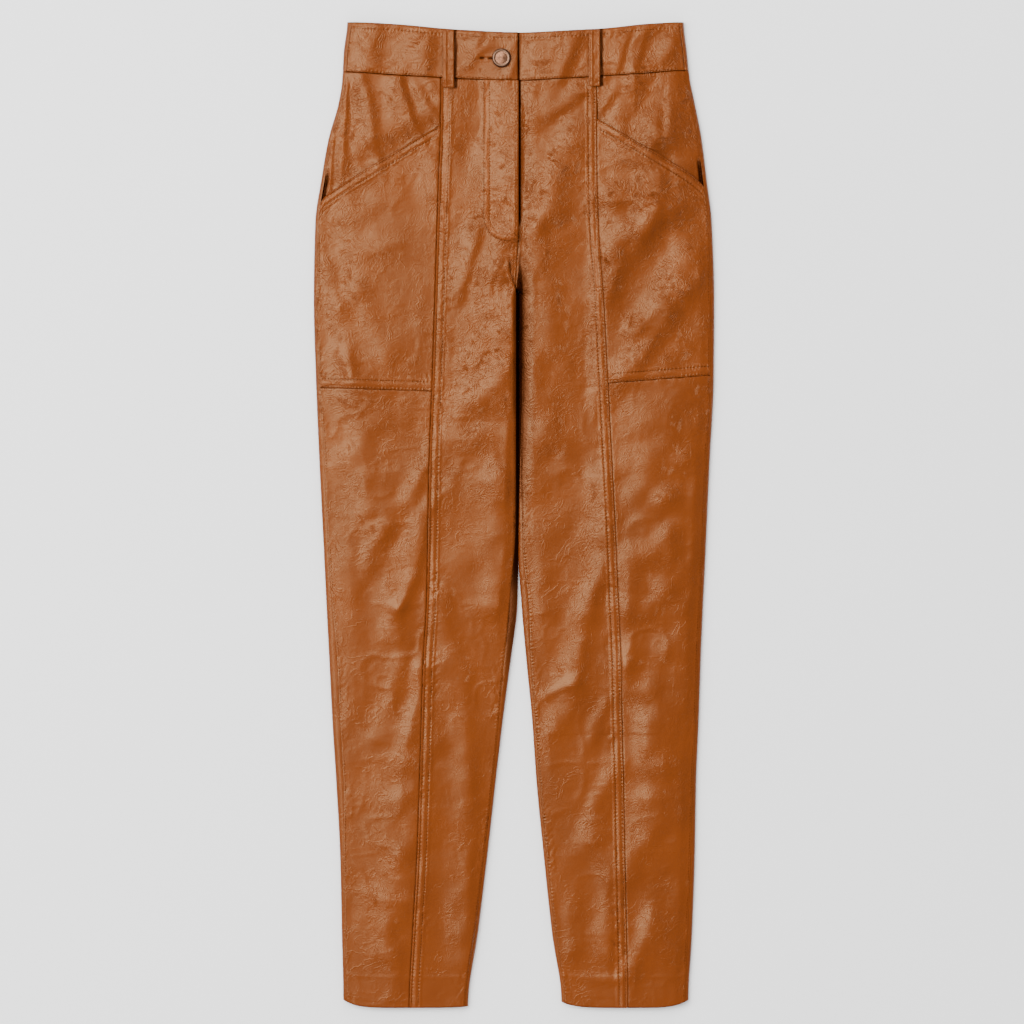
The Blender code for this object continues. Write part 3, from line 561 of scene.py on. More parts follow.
class Finish:
    """A material under construction: add() places any node and returns its outputs by name."""

    def __init__(self, name):
        self.material = bpy.data.materials.new(name)
        self.material.use_nodes = True
        self.nodes = self.material.node_tree.nodes
        self.links = self.material.node_tree.links
        self.shader = self.nodes["Principled BSDF"]

    def feed(self, socket, value):
        if isinstance(value, Wire):
            self.links.new(value.socket, socket)
        elif isinstance(value, tuple) and len(socket.default_value) == 4 and len(value) == 3:
            socket.default_value = (*value, 1)
        else:
            socket.default_value = value

    def add(self, kind, settings=None, inputs=()):
        node = self.nodes.new(kind)
        for name, value in (settings or {}).items():
            setattr(node, name, value)
        pairs = inputs.items() if isinstance(inputs, dict) else enumerate(inputs)
        for name, value in pairs:
            self.feed(node.inputs[name], value)
        return {out.name: Wire(self, out) for out in node.outputs if out.enabled}

    def mix(self, share, first, last):
        """Two colours mixed."""
        node = self.nodes.new("ShaderNodeMix")
        node.data_type = "RGBA"
        self.feed(node.inputs["Factor"], share)
        colours = [socket for socket in node.inputs if socket.type == "RGBA"]
        self.feed(colours[0], first)
        self.feed(colours[1], last)
        return Wire(self, next(out for out in node.outputs if out.type == "RGBA"))

    def attribute(self, name):
        return self.add("ShaderNodeAttribute", {"attribute_name": name})["Fac"]

    def noise(self, at, scale, detail=2.0, roughness=0.5, distortion=0.0):
        values = {"Vector": at, "Scale": scale, "Detail": detail, "Roughness": roughness,
                  "Distortion": distortion}
        return self.add("ShaderNodeTexNoise", None, values)["Fac"]

    def surface(self, **values):
        for name, value in values.items():
            self.feed(self.shader.inputs[name.replace("_", " ")], value)


# Colours are linear. The deeper tan serves both the dye's blotches and grain and the shade painted into
# creases, the pale tan the ridges, and UNLIT is painted shade where no light comes.
TAN = (0.150, 0.0312, 0.0040)
TAN_DEEP_AND_SHADE = (0.100, 0.0198, 0.0026)
TAN_PALE = (0.198, 0.046, 0.0085)
UNLIT = (0.030, 0.0062, 0.0012)
WARM_GLOSS = (1.0, 0.69, 0.39)
STITCH = 2.9  # from one stitch to the next
PUCKER = 3.7  # from one pucker beside a row to the next
FULL_TURN = 2 * math.pi


def faux_leather(name):
    """A semi-gloss skin on knit: uneven tan dye, and a crinkled grain of parallel strokes that follow the
    level lines of slow noises, so that they swirl from patch to patch, with veins and pores between. The
    grain is strong where the cloth is lifted in folds and faint where it lies flat. Shade is painted into
    the colour from the relief attribute, in creases, seams, slits and the valley between the legs."""
    leather = Finish(name)
    at = leather.add("ShaderNodeTexCoord")["Object"]

    def patches(scale, low, high):
        """0 to 1 as a noise of that scale goes from low to high."""
        return leather.noise(at, scale, 1, 0.5).ramp(low, high)

    def level_line(scale, detail, twist, width):
        """1 on the middle level of a twisted noise, and 0 from width away."""
        return 1 - abs(leather.noise(at, scale, detail, 0.5, twist) - 0.5).ramp(0, width, "SMOOTHSTEP")

    # Sines of slow noises make parallel strokes, and two sets of them take turns.
    strokes = [(leather.noise(at, scale, 1.0, 0.5, twist) * (FULL_TURN * count)).math("SINE")
               for scale, twist, count in ((52, 0.5, 17), (38, 0.9, 23))]
    turn = patches(27, 0.44, 0.56)
    hatch = (strokes[0] * turn + strokes[1] * (1 - turn)) * patches(165, 0.36, 0.6)
    veins = level_line(150, 0.3, 1.7, 0.10)
    fans = level_line(62, 1.0, 1.6, 0.05) * patches(33, 0.45, 0.6)
    blotches = leather.noise(at, 14, 4, 0.6)
    mottle = leather.noise(at, 80, 0.5, 0.5)
    pores = leather.noise(at, 620, 1.2, 0.6, 0.6)

    # The grain is uneven, strongest on the folds, and stronger above than on the lower legs.
    upwards = leather.add("ShaderNodeSeparateXYZ", None, [at])["Y"].ramp(-0.1, 0.25)
    worn = 0.45 + 0.6 * patches(42, 0.38, 0.62)
    worn = worn * (0.3 + 0.95 * leather.attribute("lifted")) * (0.48 + 0.72 * upwards)
    grooves = ((0.5 - hatch * 0.5) * 0.6 + veins * 0.6) * worn

    # Puckers stand like beads beside each row of stitches.
    pitch = leather.attribute("row_along") * (FULL_TURN / PUCKER) + leather.noise(at, 60, 1, 0.5) * 9
    beside = 1 - leather.attribute("row_across").ramp(0.4, 2.4, "SMOOTHSTEP")
    beads = beside * pitch.math("SINE") * patches(70, 0.4, 0.64)

    # The relief attribute carries painted shade: below 0.5 it darkens the colour towards the deeper tan,
    # and below 0 it paints the cloth unlit, dark brown and metallic, so that it shows no pale gloss either.
    tone = leather.attribute("relief")
    painted_shade = (0.0 - tone).ramp(0.0, 1.0)
    dye_and_shade = leather.mix(blotches.ramp(0.35, 0.75) * 0.5 + mottle * 0.12, TAN, TAN_DEEP_AND_SHADE)
    dye_and_shade = leather.mix((0.5 - tone).ramp(0.0, 0.5) * 0.8, dye_and_shade, TAN_DEEP_AND_SHADE)
    dye_and_shade = leather.mix(grooves * 0.45, dye_and_shade, TAN_DEEP_AND_SHADE)
    dye_and_shade = leather.mix((tone - 0.5).ramp(0.0, 0.5) * 0.35, dye_and_shade, TAN_PALE)
    dye_and_shade = leather.mix(painted_shade, dye_and_shade, UNLIT)
    grain = mottle * 1.1 + pores * worn * 1.2 + hatch * worn * 0.65 - veins * worn * 0.45
    grain = grain + fans * 0.6 + beads * 0.75
    bump = leather.add("ShaderNodeBump", None, {"Strength": 1.0, "Distance": 0.00018, "Height": grain})
    leather.surface(
        Base_Color=dye_and_shade,
        Roughness=0.25 + blotches * 0.06 + grooves * 0.12 + painted_shade * 0.3,
        Specular_Tint=WARM_GLOSS,
        Metallic=painted_shade,
        Normal=bump["Normal"],
    )
    return leather.material


CORE = 4  # a face of the hidden inner skin spans this many of the outer skin's each way
FAR = 99.0  # stands for the distance to a row where there is none


def fitted(stations):
    """Stations resampled to a multiple of CORE and one, so that the inner skin can take every fourth."""
    count = math.ceil((len(stations) - 1) / CORE) * CORE + 1
    return np.interp(np.linspace(0, 1, count), np.linspace(0, 1, len(stations)), stations)


def quads(index):
    """Four-cornered faces over a grid of point numbers."""
    corners = index[:-1, :-1], index[1:, :-1], index[1:, 1:], index[:-1, 1:]
    return np.stack(corners, axis=-1).reshape(-1, 4)


def nearest_row(rows, shape):
    """Distance to the nearest stitched row and the run along it, from pairs of the two for each row."""
    near, run = np.full(shape, FAR), np.zeros(shape)
    for distance, along in rows:
        distance = np.broadcast_to(np.abs(distance), shape)
        run = np.where(distance < near, along, run)
        near = np.minimum(near, distance)
    return near, run


def finished(name, mesh, material, sharp=0):
    """The mesh as an object of that material. Edges that turn more than sharp degrees stay sharp."""
    mesh.shade_smooth()
    if sharp:
        mesh.set_sharp_from_angle(angle=math.radians(sharp))
    mesh.materials.append(material)
    piece = bpy.data.objects.new(name, mesh)
    bpy.context.scene.collection.objects.link(piece)
    return piece


def cloth_piece(name, outer, inner, relief, rows=()):
    """A closed wall between two grids of points, across by along. The unseen inner skin takes every fourth
    point of its grid, and each rim face joins four fine steps to one coarse one. relief is the colour's
    depth, with shade painted into creases, seams and gaps, and rows are the stitched rows as pairs:
    distance across to the row, and run along it."""
    across, along = outer.shape[:2]
    index = np.arange(across * along).reshape(across, along)
    core = inner[::CORE, ::CORE]
    under = index.size + np.arange(core.shape[0] * core.shape[1]).reshape(core.shape[:2])
    skins = np.concatenate([quads(index), quads(under)[:, ::-1]])
    rims = []
    for edge, below in (
        (index[:, 0], under[:, 0]),
        (index[-1, :], under[-1, :]),
        (index[::-1, -1], under[::-1, -1]),
        (index[0, ::-1], under[0, ::-1]),
    ):
        fine = np.concatenate([edge[:-1].reshape(-1, CORE), edge[CORE::CORE, None]], axis=1)
        rims.append(np.concatenate([below[:-1, None], below[1:, None], fine[:, ::-1]], axis=1))
    rims = np.concatenate(rims)
    i, j = across // 2, along // 2
    turn = np.cross(outer[i + 1, j] - outer[i, j], outer[i, j + 1] - outer[i, j])
    if turn @ (outer[i, j] - inner[i, j]) < 0:
        skins, rims = skins[:, ::-1], rims[:, ::-1]
    points = np.concatenate([outer.reshape(-1, 3), core.reshape(-1, 3)])
    corners = np.concatenate([skins.ravel(), rims.ravel()])
    starts = np.concatenate([np.arange(0, skins.size, 4), skins.size + np.arange(0, rims.size, CORE + 3)])
    mesh = bpy.data.meshes.new(name)
    mesh.vertices.add(len(points))
    mesh.vertices.foreach_set("co", points.astype(np.float32).ravel())
    mesh.loops.add(len(corners))
    mesh.loops.foreach_set("vertex_index", corners.astype(np.int32))
    mesh.polygons.add(len(starts))
    mesh.polygons.foreach_set("loop_start", starts.astype(np.int32))
    mesh.update(calc_edges=True)
    near, run = nearest_row(rows, (across, along))
    lie = np.cross(np.gradient(outer, axis=0), np.gradient(outer, axis=1))
    lifted = smooth((np.hypot(lie[..., 0], lie[..., 1]) / np.abs(lie[..., 2]).clip(1e-12) - 0.03) / 0.15)
    for attribute, values, rest in (("relief", relief, -0.8), ("row_across", near, FAR),
                                    ("row_along", run, 0.0), ("lifted", lifted, 0.0)):
        values = np.broadcast_to(values, (across, along)).ravel()
        data = np.concatenate([values, np.full(core.shape[0] * core.shape[1], rest)]).astype(np.float32)
        mesh.attributes.new(attribute, "FLOAT", "POINT").data.foreach_set("value", data)
    piece = finished(name + ".cloth", mesh, LEATHER, 60)
    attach(piece, "root")
    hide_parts(name)
    return piece


# The painted shade of the valley between the legs, where no light comes: its two edges at each level.
Valley = namedtuple("Valley", "drop low high")
VALLEY = [
    Valley(206, 4.9, 6.0),
    Valley(234, 4.6, 7.0),
    Valley(252, 3.8, 8.2),
    Valley(266, 2.2, 9.2),
    Valley(300, 1.9, 9.6),
    Valley(358, 1.9, 9.4),
    Valley(408, 1.8, 7.8),
    Valley(458, 1.7, 6.0),
    Valley(513, 0.9, 4.6),
    Valley(567, -3.6, 3.6),
    Valley(640, -9.8, -2.4),
    Valley(700, -13.5, -7.5),
]


def painted_valley_shade(x, drop):
    """Painted shade: 1 in the valley between the legs, less on the bank up to the left thigh, and 0 away
    from both.
    """
    low, high = through(VALLEY, "low", drop), through(VALLEY, "high", drop)
    entered = smooth((x - low) / 1.2 + 0.5)
    inside = entered * smooth((high - x) / 1.6 + 0.5)
    bank = 0.64 * entered * fade((x - high) / 15) * fade((drop - 440) / 100)
    starts, thins, ends = smooth((drop - 204) / 60), smooth((drop - 540) / 40), smooth((drop - 600) / 110)
    return np.maximum(inside, bank) * starts * (1 - 0.35 * thins) * (1 - ends)


def tone_of(fine, painted_shade=0.0):
    """Painted shade from the fine relief in millimetres: 0 in a crease, darkened as shade, 1 on a ridge,
    paler, and -1 painted unlit. A seam's own crevice, deeper than a quarter of a millimetre, is painted
    nearly unlit."""
    painted_shade = np.maximum(painted_shade, 0.7 * smooth((-fine - 0.22) / 0.3))
    return np.clip(0.5 + 0.45 * fine, 0, 1) * (1 - painted_shade) - painted_shade


def edge_roll(distance, depth=0.5):
    """A turned edge: the skin rolls down over the last millimetre, into the seam."""
    return -depth * bell(distance, 0.8)


def stitched_edge(distance, along, rows, seed, bulk=0.5, pucker=0.30, roll=0.5, reach=10.0):
    """A seam allowance stitched down. Between the edge and each row the cloth swells in a low pillow, it
    dips under every row, and short puckers cross it that come and go along the seam."""
    height = edge_roll(distance, roll)
    for low, high in zip([0.0, *rows], rows):
        middle, half = (low + high) / 2, (high - low) / 2
        height = height + bulk * bell(distance - middle, 0.62 * half)
    beyond = distance - max(rows)
    height = height + 0.6 * bulk * bell(beyond - 1.4, 1.0)
    strength = pucker * smooth(0.45 + 0.9 * ripple(along, 0 * along, 31, seed))
    waves = ripple(along + 0.35 * distance, distance, 3.1, seed + 1)
    waves = waves + 0.6 * ripple(along, distance, 6.5, seed + 2)
    return height + strength * waves * fade((beyond - 2) / reach)


LEATHER = faux_leather("faux leather")


def spread(width, edge=12.0, fine=0.8, coarse=1.7):
    """Shares across a panel of that width: close together near both edges, and wide apart between."""
    near = np.concatenate([[0, 0.35, 0.75, 1.2], np.arange(1.2 + fine, edge, fine)])
    middle = np.linspace(edge, width - edge, max(3, int((width - 2 * edge) / coarse)))
    return fitted(np.concatenate([near, middle, width - near[::-1]]) / width)


ROW = 1.15  # the step between points down a front
FOLD_STEPS = np.linspace(0, 1, 11)[:, None]


def fold_columns(side, edge, inward, over, drop, inset, detail, proud=0.0):
    """Columns from a back's seam on the front, over the folded edge and down to the table. Their distances
    in from the edge are the squares of even steps, so they stand closest where the cloth turns."""
    above = inset + (over - inset) * FOLD_STEPS[:0:-1] ** 2
    below = inset + (FOLD_REACH_UNDER - inset) * FOLD_STEPS[:-1] ** 2
    x_above, x_below = edge + inward * above, edge + inward * below
    z = front_height(side, x_above, drop, inset, proud)
    if inset == 0:
        z = z + detail(x_above, over - above, above)
    return np.concatenate([x_above, x_below]), np.concatenate([z, back_height(side, x_below, drop, inset)])


def panel_levels(top, step, fork_levels, fork_gap, leg_step):
    """Drops down a panel: even steps to the crotch, close ones over the fork, and even ones to the hem."""
    hip, fork = np.arange(top, CROTCH, step), np.linspace(CROTCH, CROTCH + FORK, fork_levels)
    below = np.arange(CROTCH + FORK + fork_gap, LENGTH - 1, leg_step)
    return fitted(np.concatenate([hip, fork, below, [LENGTH - 0.5, LENGTH]]))[None, :]


def back_panel(side):
    """Columns run from the inseam's seam over the inner fold, along the table, and over the side fold."""
    sign = SIGN[side]
    drop = panel_levels(BAND_DEPTH + SEAM_GAP / 2, 4.0, 7, 3.0, 3.4)
    out, inn = outer_edge(side, drop), leg(side, "inner", drop)
    over_out = leg(side, "out_wrap", drop) - SEAM_OPEN / 2
    over_in = leg(side, "in_wrap", drop) - SEAM_OPEN / 2

    def edge(seed, pucker, roll):
        def detail(x, from_seam, from_fold):
            seam = stitched_edge(from_seam, drop, [2.0], seed, 0.0, pucker, roll)
            return seam * smooth(from_fold / 2) + edge_roll(LENGTH - drop)
        return detail

    across = np.linspace(0, 1, 45)[:, None]
    flat = between(inn + sign * FOLD_REACH_UNDER, out - sign * FOLD_REACH_UNDER, across)
    skins = []
    for inset in (0.0, WALL):
        x_in, z_in = fold_columns(side, inn, sign, over_in, drop, inset, edge(41, 0.15, 0.3))
        x_out, z_out = fold_columns(side, out, -sign, over_out, drop, inset, edge(44, 0.12, 0.12))
        # Above the crotch the inner fold is open, and its columns lie flat up to the centre back seam.
        half = len(x_in) // 2
        spots = [np.linspace(0, 0.25, half, endpoint=False),
                 np.linspace(0.25, FOLD_REACH_UNDER, half, endpoint=False)]
        gap = between(SEAM_GAP / 2, 0.01, smooth((drop - CROTCH + 40) / 30))
        seamed = BACK_SEAM + sign * (gap + np.concatenate(spots)[:, None])
        x_in = between(x_in, seamed, 1 - parted(drop))
        z_in = between(z_in, loop_lift(seamed, drop) + inset, 1 - parted(drop))
        x = np.concatenate([x_in, flat, x_out[::-1]])
        z = np.concatenate([z_in, back_height(side, flat, drop, inset), z_out[::-1]])
        if inset == 0:
            # The strips that wrap up into the valley take its painted shade.
            wrapped = (z > EDGE_MID - 2.5) & (drop > CROTCH)
            tone = tone_of(0.0, painted_valley_shade(x, drop) * wrapped)
        skins.append(place(side, x, drop, z))
    return cloth_piece(f"back_{side}", *skins, tone)


FRONT_LOOPS = {"right": -65.6, "left": 80.4}


def loop_shade(x, drop):
    """Painted shadow: 1 in the narrow gap that a front belt loop shades on its left side, and 0 away from
    it.
    """
    beside = np.min([np.abs(x - at - LOOP_WIDTH / 2 - 1.4) for at in FRONT_LOOPS.values()], axis=0)
    return 0.9 * fade((beside - 1.3) / 1.0) * fade((drop - BAND_DEPTH - LOOP_TAIL) / 1.5)


backs = {side: back_panel(side) for side in SIGN}


# ---- Centre fronts ----------------------------------------------------------------------------------
# One long panel a side, between the panel seam and the fly, the centre front seam and the inseam. The
# right one lies over the left at the fly, where a facing doubles it. The panel seam's allowance is
# pressed towards the middle and held by two rows of stitches.

FLY_EDGE = 4.7  # x of the free edge of the right front
FLY_END = 206.0  # where the fly's slit closes
UNDERLAP_END = -1.0  # x of the left front's edge, under the right one
SLIT = 2.6  # how far beside the fly's edge the left front still lies lowest
CENTRE_SEAM_LOW = 1.6  # x of the centre front seam at the crotch
SINK_RUN = 15.0
LAP_GAP = 0.8  # between walls that lap
SEAM_ROLL = {"right": 0.5, "left": 0.36}
PANEL_ROWS = (2.4, 9.0)  # rows of stitches, as distances from the panel seam
FLY_EDGE_ROW = 2.7
CENTRE_ROW = 2.6  # beside the centre front seam, below the fly
INSEAM_ROW = 1.6
INSEAM_ROW_START = CROTCH + 260  # where its puckers come out of the valley
HEM_DEPTH = 31.0  # of the turned-up hem

# The J of the fly: x of its outer row, distances of its two rows, the turn's radius and where it starts.
FLY_OUTER = -30.2
FLY_ROWS = (0.0, 5.6)
FLY_TURN = 24.0
FLY_CURVE_DROP = 195.0
FLY_RISE = 2.3
FLY_RISE_RUN = 36.0


def fly_rise(x, drop):
    """How far the facing and the zip lift the right front: most at its edge, and fading below the turn."""
    return FLY_RISE * smooth((x + FLY_RISE_RUN) / FLY_RISE_RUN) * fade((drop - 190) / 60)


def fly_sink(x, drop):
    """The left front sinks by one wall under the fly's edge, down to where the slit closes."""
    beside = fade((x - FLY_EDGE - SLIT) / SINK_RUN)
    return (WALL + SEAM_GAP) * beside * fade((drop - FLY_END - 7) / 18)


def centre_line(side, drop):
    """The inner edge of a centre front: fly, centre front seam, then inseam."""
    sign = SIGN[side]
    centre = np.interp(drop, [0.0, FLY_END, CROTCH], [FLY_EDGE, FLY_EDGE, CENTRE_SEAM_LOW])
    if side == "left":
        under = between(UNDERLAP_END, centre + SEAM_GAP, smooth((drop - FLY_END) / 6))
        centre = np.where(drop < FLY_END, UNDERLAP_END, under)
    inseam = leg(side, "inner", drop) + sign * (leg(side, "in_wrap", drop) + SEAM_OPEN / 2)
    return between(centre, inseam, parted(drop))


def fly_inward(x, drop):
    """Distance inside the J's outer row: straight down, round a quarter circle, and along to the middle."""
    aside, below = np.minimum(x - FLY_OUTER - FLY_TURN, 0), np.maximum(drop - FLY_CURVE_DROP, 0)
    return FLY_TURN - np.hypot(aside, below)


def fly_run(x, drop):
    """Run along the J's rows, from the waist."""
    left, below = np.maximum(FLY_OUTER + FLY_TURN - x, 0), np.maximum(drop - FLY_CURVE_DROP, 0)
    turned = np.arctan2(below, left) * (left > 0) + np.pi / 2 * (left <= 0)
    past = np.maximum(x - FLY_OUTER - FLY_TURN, 0)
    mean_radius = FLY_TURN - 3
    return np.where(below > 0, FLY_CURVE_DROP + mean_radius * turned + past, drop)


def fly_relief(x, drop, from_edge):
    """The facing shows as a step inside the J, a pillow between its rows, puckers, and a stitched edge."""
    inward = fly_inward(x, drop)
    doubled = smooth((inward + 0.6) / 1.8)
    pillow = bell(inward - FLY_ROWS[1] / 2, 1.7)
    roll = 0.7 - 0.42 * smooth((drop - FLY_END - 4) / 14)
    edge = stitched_edge(from_edge, drop, [FLY_EDGE_ROW], 71, 0.4, 0.14, roll)
    puckers = 0.16 * ripple(fly_run(x, drop), inward, 3.2, 75) * bell(inward - 3, 6)
    return 0.35 * doubled + 0.7 * pillow + edge + puckers


def hem_ridge(drop):
    """The edge of the turned-up hem, which shows through as a low ridge."""
    return 0.16 * bell(LENGTH - HEM_DEPTH - drop, 1.6)


def front_piece(name, side, x, drop, fine, fall, painted_shade, rows):
    """A panel of the front that sinks by fall, with its fine relief, its places of painted shade and its
    rows.
    """
    outer = place(side, x, drop, front_height(side, x, drop) - fall + fine)
    inner = place(side, x, drop, front_height(side, x, drop, WALL) - fall)
    return cloth_piece(name, outer, inner, tone_of(fine, painted_shade), rows)


def centre_front(side):
    """Columns run from the panel seam to the middle. The relief of each edge lies on the panel's height."""
    drop = panel_levels(BAND_DEPTH + SEAM_OPEN / 2, ROW, 12, ROW, ROW)
    first = panel_seam(side, drop) - SIGN[side] * SEAM_OPEN / 2
    last = centre_line(side, drop)
    x = between(first, last, spread(82)[:, None])
    drop = np.broadcast_to(drop, x.shape)
    from_seam, from_centre = np.abs(x - first), np.abs(last - x)
    rows = [(from_seam - row, drop) for row in PANEL_ROWS]
    # The valley between the legs and the gap beside a belt loop are painted as shade.
    painted_shade = np.maximum(painted_valley_shade(x, drop), loop_shade(x, drop))
    if side == "right":
        edge, fall = fly_relief(x, drop, from_centre), -fly_rise(x, drop)
        # The tuck's line is painted as shade.
        painted_shade = np.maximum(painted_shade, 0.75 * crest_bell(PAINTED_TUCK_SHADE, x, drop))
        rows += [(fly_inward(x, drop) - row, fly_run(x, drop)) for row in FLY_ROWS]
        rows.append((np.where(drop < CROTCH, from_centre - FLY_EDGE_ROW, FAR), drop))
    else:
        edge, fall = edge_roll(from_centre, 0.3), fly_sink(x, drop)
        # The slit beside the fly's edge is painted as shade, down to where it closes.
        painted_slit_shade = fade((drop - FLY_END + 8) / 12)
        painted_shade = np.maximum(painted_shade, painted_slit_shade * fade((x - FLY_EDGE - 1.6) / 1.6))
    rows.append((np.where(drop > INSEAM_ROW_START, from_centre - INSEAM_ROW, FAR), drop))
    below = smooth((drop - CROTCH) / 6)
    seed = {"right": 51, "left": 61}[side]
    fine = stitched_edge(from_seam, drop, PANEL_ROWS, seed, 0.7, 0.34, SEAM_ROLL[side]) + (1 - below) * edge
    fine = fine + below * stitched_edge(from_centre, drop, [INSEAM_ROW], 81, 0.0, 0.2, 0.3)
    fine = fine + edge_roll(drop - BAND_DEPTH) + edge_roll(LENGTH - drop)
    fine = fine + crinkle(x, drop) + hem_ridge(drop)
    return front_piece(f"front_centre_{side}", side, x, drop, fine, fall, painted_shade, rows)


centre_fronts = {side: centre_front(side) for side in SIGN}


# ---- Side fronts ------------------------------------------------------------------------------------
# The leg's outer front, from the pocket's bottom seam to the plain turned hem. Its upper edge goes under
# the pocket, and its inner edge under the centre front, so neither shows a row of its own.

SIDE_ROW = 1.8  # distance of its row of stitches from the side seam


def side_edges(side, drop):
    """The side panel's two edges at a drop, half a gap clear of the seams."""
    clear = SIGN[side] * SEAM_OPEN / 2
    return side_seam(side, drop) - clear, panel_seam(side, drop) + clear


def pocket_bottom(side, x):
    """The bottom seams: nearly level on the right, and rising outwards on the left."""
    if side == "right":
        return 367.3 + 0.03 * (x + 140)
    return 357.3 - 0.08 * (x - 144)


def side_x(side, share, line):
    """x where a column of the side panel meets a line across it, such as the pocket's mouth."""
    x = np.full_like(share, SIGN[side] * 130.0)
    for _ in range(8):
        first, last = side_edges(side, line(side, x))
        x = between(first, last, share)
    return x


def side_piece(name, side, share, upper, lower, run, details, sink=None):
    """A piece of the side front between two lines across it. details gives its relief, rows and painted
    shade, and sink how far it goes down."""
    drop = between(upper, lower, run)
    first, last = side_edges(side, drop)
    x = between(first, last, share)
    own, rows, painted_shade = details(x, drop)
    seed = {"right": 91, "left": 98}[side]
    fine = stitched_edge(np.abs(x - first), drop, [SIDE_ROW], seed, 0.0, 0.14, 0.12)
    fine = fine + edge_roll(np.abs(last - x), SEAM_ROLL[side]) + own + crinkle(x, drop)
    return front_piece(name, side, x, drop, fine, sink(side, x, drop) if sink else 0.0, painted_shade, rows)


def even_rows(length, step=ROW):
    """Shares down a piece, with two extra ones close to each end for the rolled edge."""
    close = np.array([0, 0.4, 0.9, 1.5])
    middle = np.linspace(2.4, length - 2.4, int(length / step))
    return fitted(np.concatenate([close, middle, length - close[::-1]]))[None, :] / length


def side_front(side):
    share = spread(104)[:, None]
    upper = pocket_bottom(side, side_x(side, share, pocket_bottom)) + SEAM_OPEN / 2

    def details(x, drop):
        top = drop - pocket_bottom(side, x)
        pucker = 0.16 * ripple(x, drop, 4.0, 95) * fade(top / 9)
        return edge_roll(top) + edge_roll(LENGTH - drop) + hem_ridge(drop) + pucker, [], 0.0

    return side_piece(f"front_side_{side}", side, share, upper, LENGTH, even_rows(620), details)


side_fronts = {side: side_front(side) for side in SIGN}


# ---- Pockets ----------------------------------------------------------------------------------------
# Large slanted pockets set into the side fronts. The mouth is turned under and held by two rows of
# stitches; so is the bottom, where the pocket lies over the side front.

Mouth = namedtuple("Mouth", "across drop")
MOUTHS = {
    "right": [Mouth(50, 84.5), Mouth(73, 99.0), Mouth(134, 138.5), Mouth(175, 164.5), Mouth(191, 176.5),
              Mouth(199, 190)],
    "left": [Mouth(60, 79.0), Mouth(83, 93.5), Mouth(119, 117.0), Mouth(154, 138.0), Mouth(188, 162.0),
             Mouth(198, 178)],
}
MOUTH_SLOPE = 0.85
MOUTH_ROWS = (1.8, 8.4)
BOTTOM_ROWS = (1.4, 9.2)


def mouth_drop(side, x):
    return through(MOUTHS[side], "drop", SIGN[side] * x)


def pocket(side):
    share = spread(114)[:, None]
    upper = mouth_drop(side, side_x(side, share, mouth_drop))
    lower = pocket_bottom(side, side_x(side, share, pocket_bottom)) - SEAM_OPEN / 2

    def details(x, drop):
        mouth = (drop - mouth_drop(side, x)) * MOUTH_SLOPE
        bottom = pocket_bottom(side, x) - drop
        turned = stitched_edge(mouth, x, MOUTH_ROWS, 101, 0.65, 0.28)
        turned = turned + stitched_edge(bottom, x, BOTTOM_ROWS, 105, 0.5, 0.28)
        rows = [(mouth - row, x / 0.9) for row in MOUTH_ROWS] + [(bottom - row, x) for row in BOTTOM_ROWS]
        return turned, rows, 0.0

    return side_piece(f"pocket_{side}", side, share, upper, lower, even_rows(230), details)


pockets = {side: pocket(side) for side in SIGN}


# ---- Hip facings ------------------------------------------------------------------------------------
# The cloth seen above the pocket's mouth. It runs from the waist seam down behind the pocket, and sinks
# by one wall as it nears the mouth.

MOUTH_UNDERLAP = 14.0
MOUTH_SINK_RUN = 26.0
# How dark the shade painted along the line under the pocket's mouth is, on each side.
MOUTH_PAINTED_SHADE = {"right": 0.55, "left": 0.35}

# Two narrow ridges stand along the side of the right hip: x where the drop is 120, and both ends' drops.
Ridge = namedtuple("Ridge", "x top bottom")
HIP_RIDGES = {"right": [Ridge(-170.5, 54, 162), Ridge(-181.5, 108, 168)], "left": []}


def facing_sink(side, x, drop):
    """How far the facing sinks on its way under the pocket's mouth: by one wall and the gap of a lap."""
    above = mouth_drop(side, x) - drop
    return (WALL + LAP_GAP) * fade((above - 1) / MOUTH_SINK_RUN)


def hip_facing(side):
    share = spread(108)[:, None]
    lower = mouth_drop(side, side_x(side, share, mouth_drop)) + MOUTH_UNDERLAP

    def details(x, drop):
        """The mouth gapes at its outer end. Its gap, the line under its edge and the belt loop's gap are
        painted as shade.
        """
        from_side = SIGN[side] * (side_seam(side, drop) - x)
        above = mouth_drop(side, x) - drop
        gape = fade((from_side - 2.5) / 2.5) * fade((above - 12) / 14)
        painted_shade = gape + MOUTH_PAINTED_SHADE[side] * fade((above - 0.2) / 1.1) + loop_shade(x, drop)
        relief, rows = edge_roll(drop - BAND_DEPTH) - 1.1 * gape, []
        for ridge in HIP_RIDGES[side]:
            off = x - ridge.x + 0.06 * (drop - 120)
            ends = smooth((drop - ridge.top) / 12) * fade((drop - ridge.bottom) / 8)
            relief = relief + 0.75 * bell(off, 1.9) * ends
            rows.append((np.where(ends > 0.2, off, FAR), drop))
        return relief, rows, np.clip(painted_shade, 0, 1)

    return side_piece(
        f"hip_facing_{side}", side, share, BAND_DEPTH + SEAM_OPEN / 2, lower, even_rows(110, 1.3), details,
        facing_sink)


facings = {side: hip_facing(side) for side in SIGN}


# ---- Waistband --------------------------------------------------------------------------------------
# A contour band of two layers: the back from side to side, and two fronts that lap at the fly, right
# over left. One row of stitches runs below its top edge and one above the waist seam.

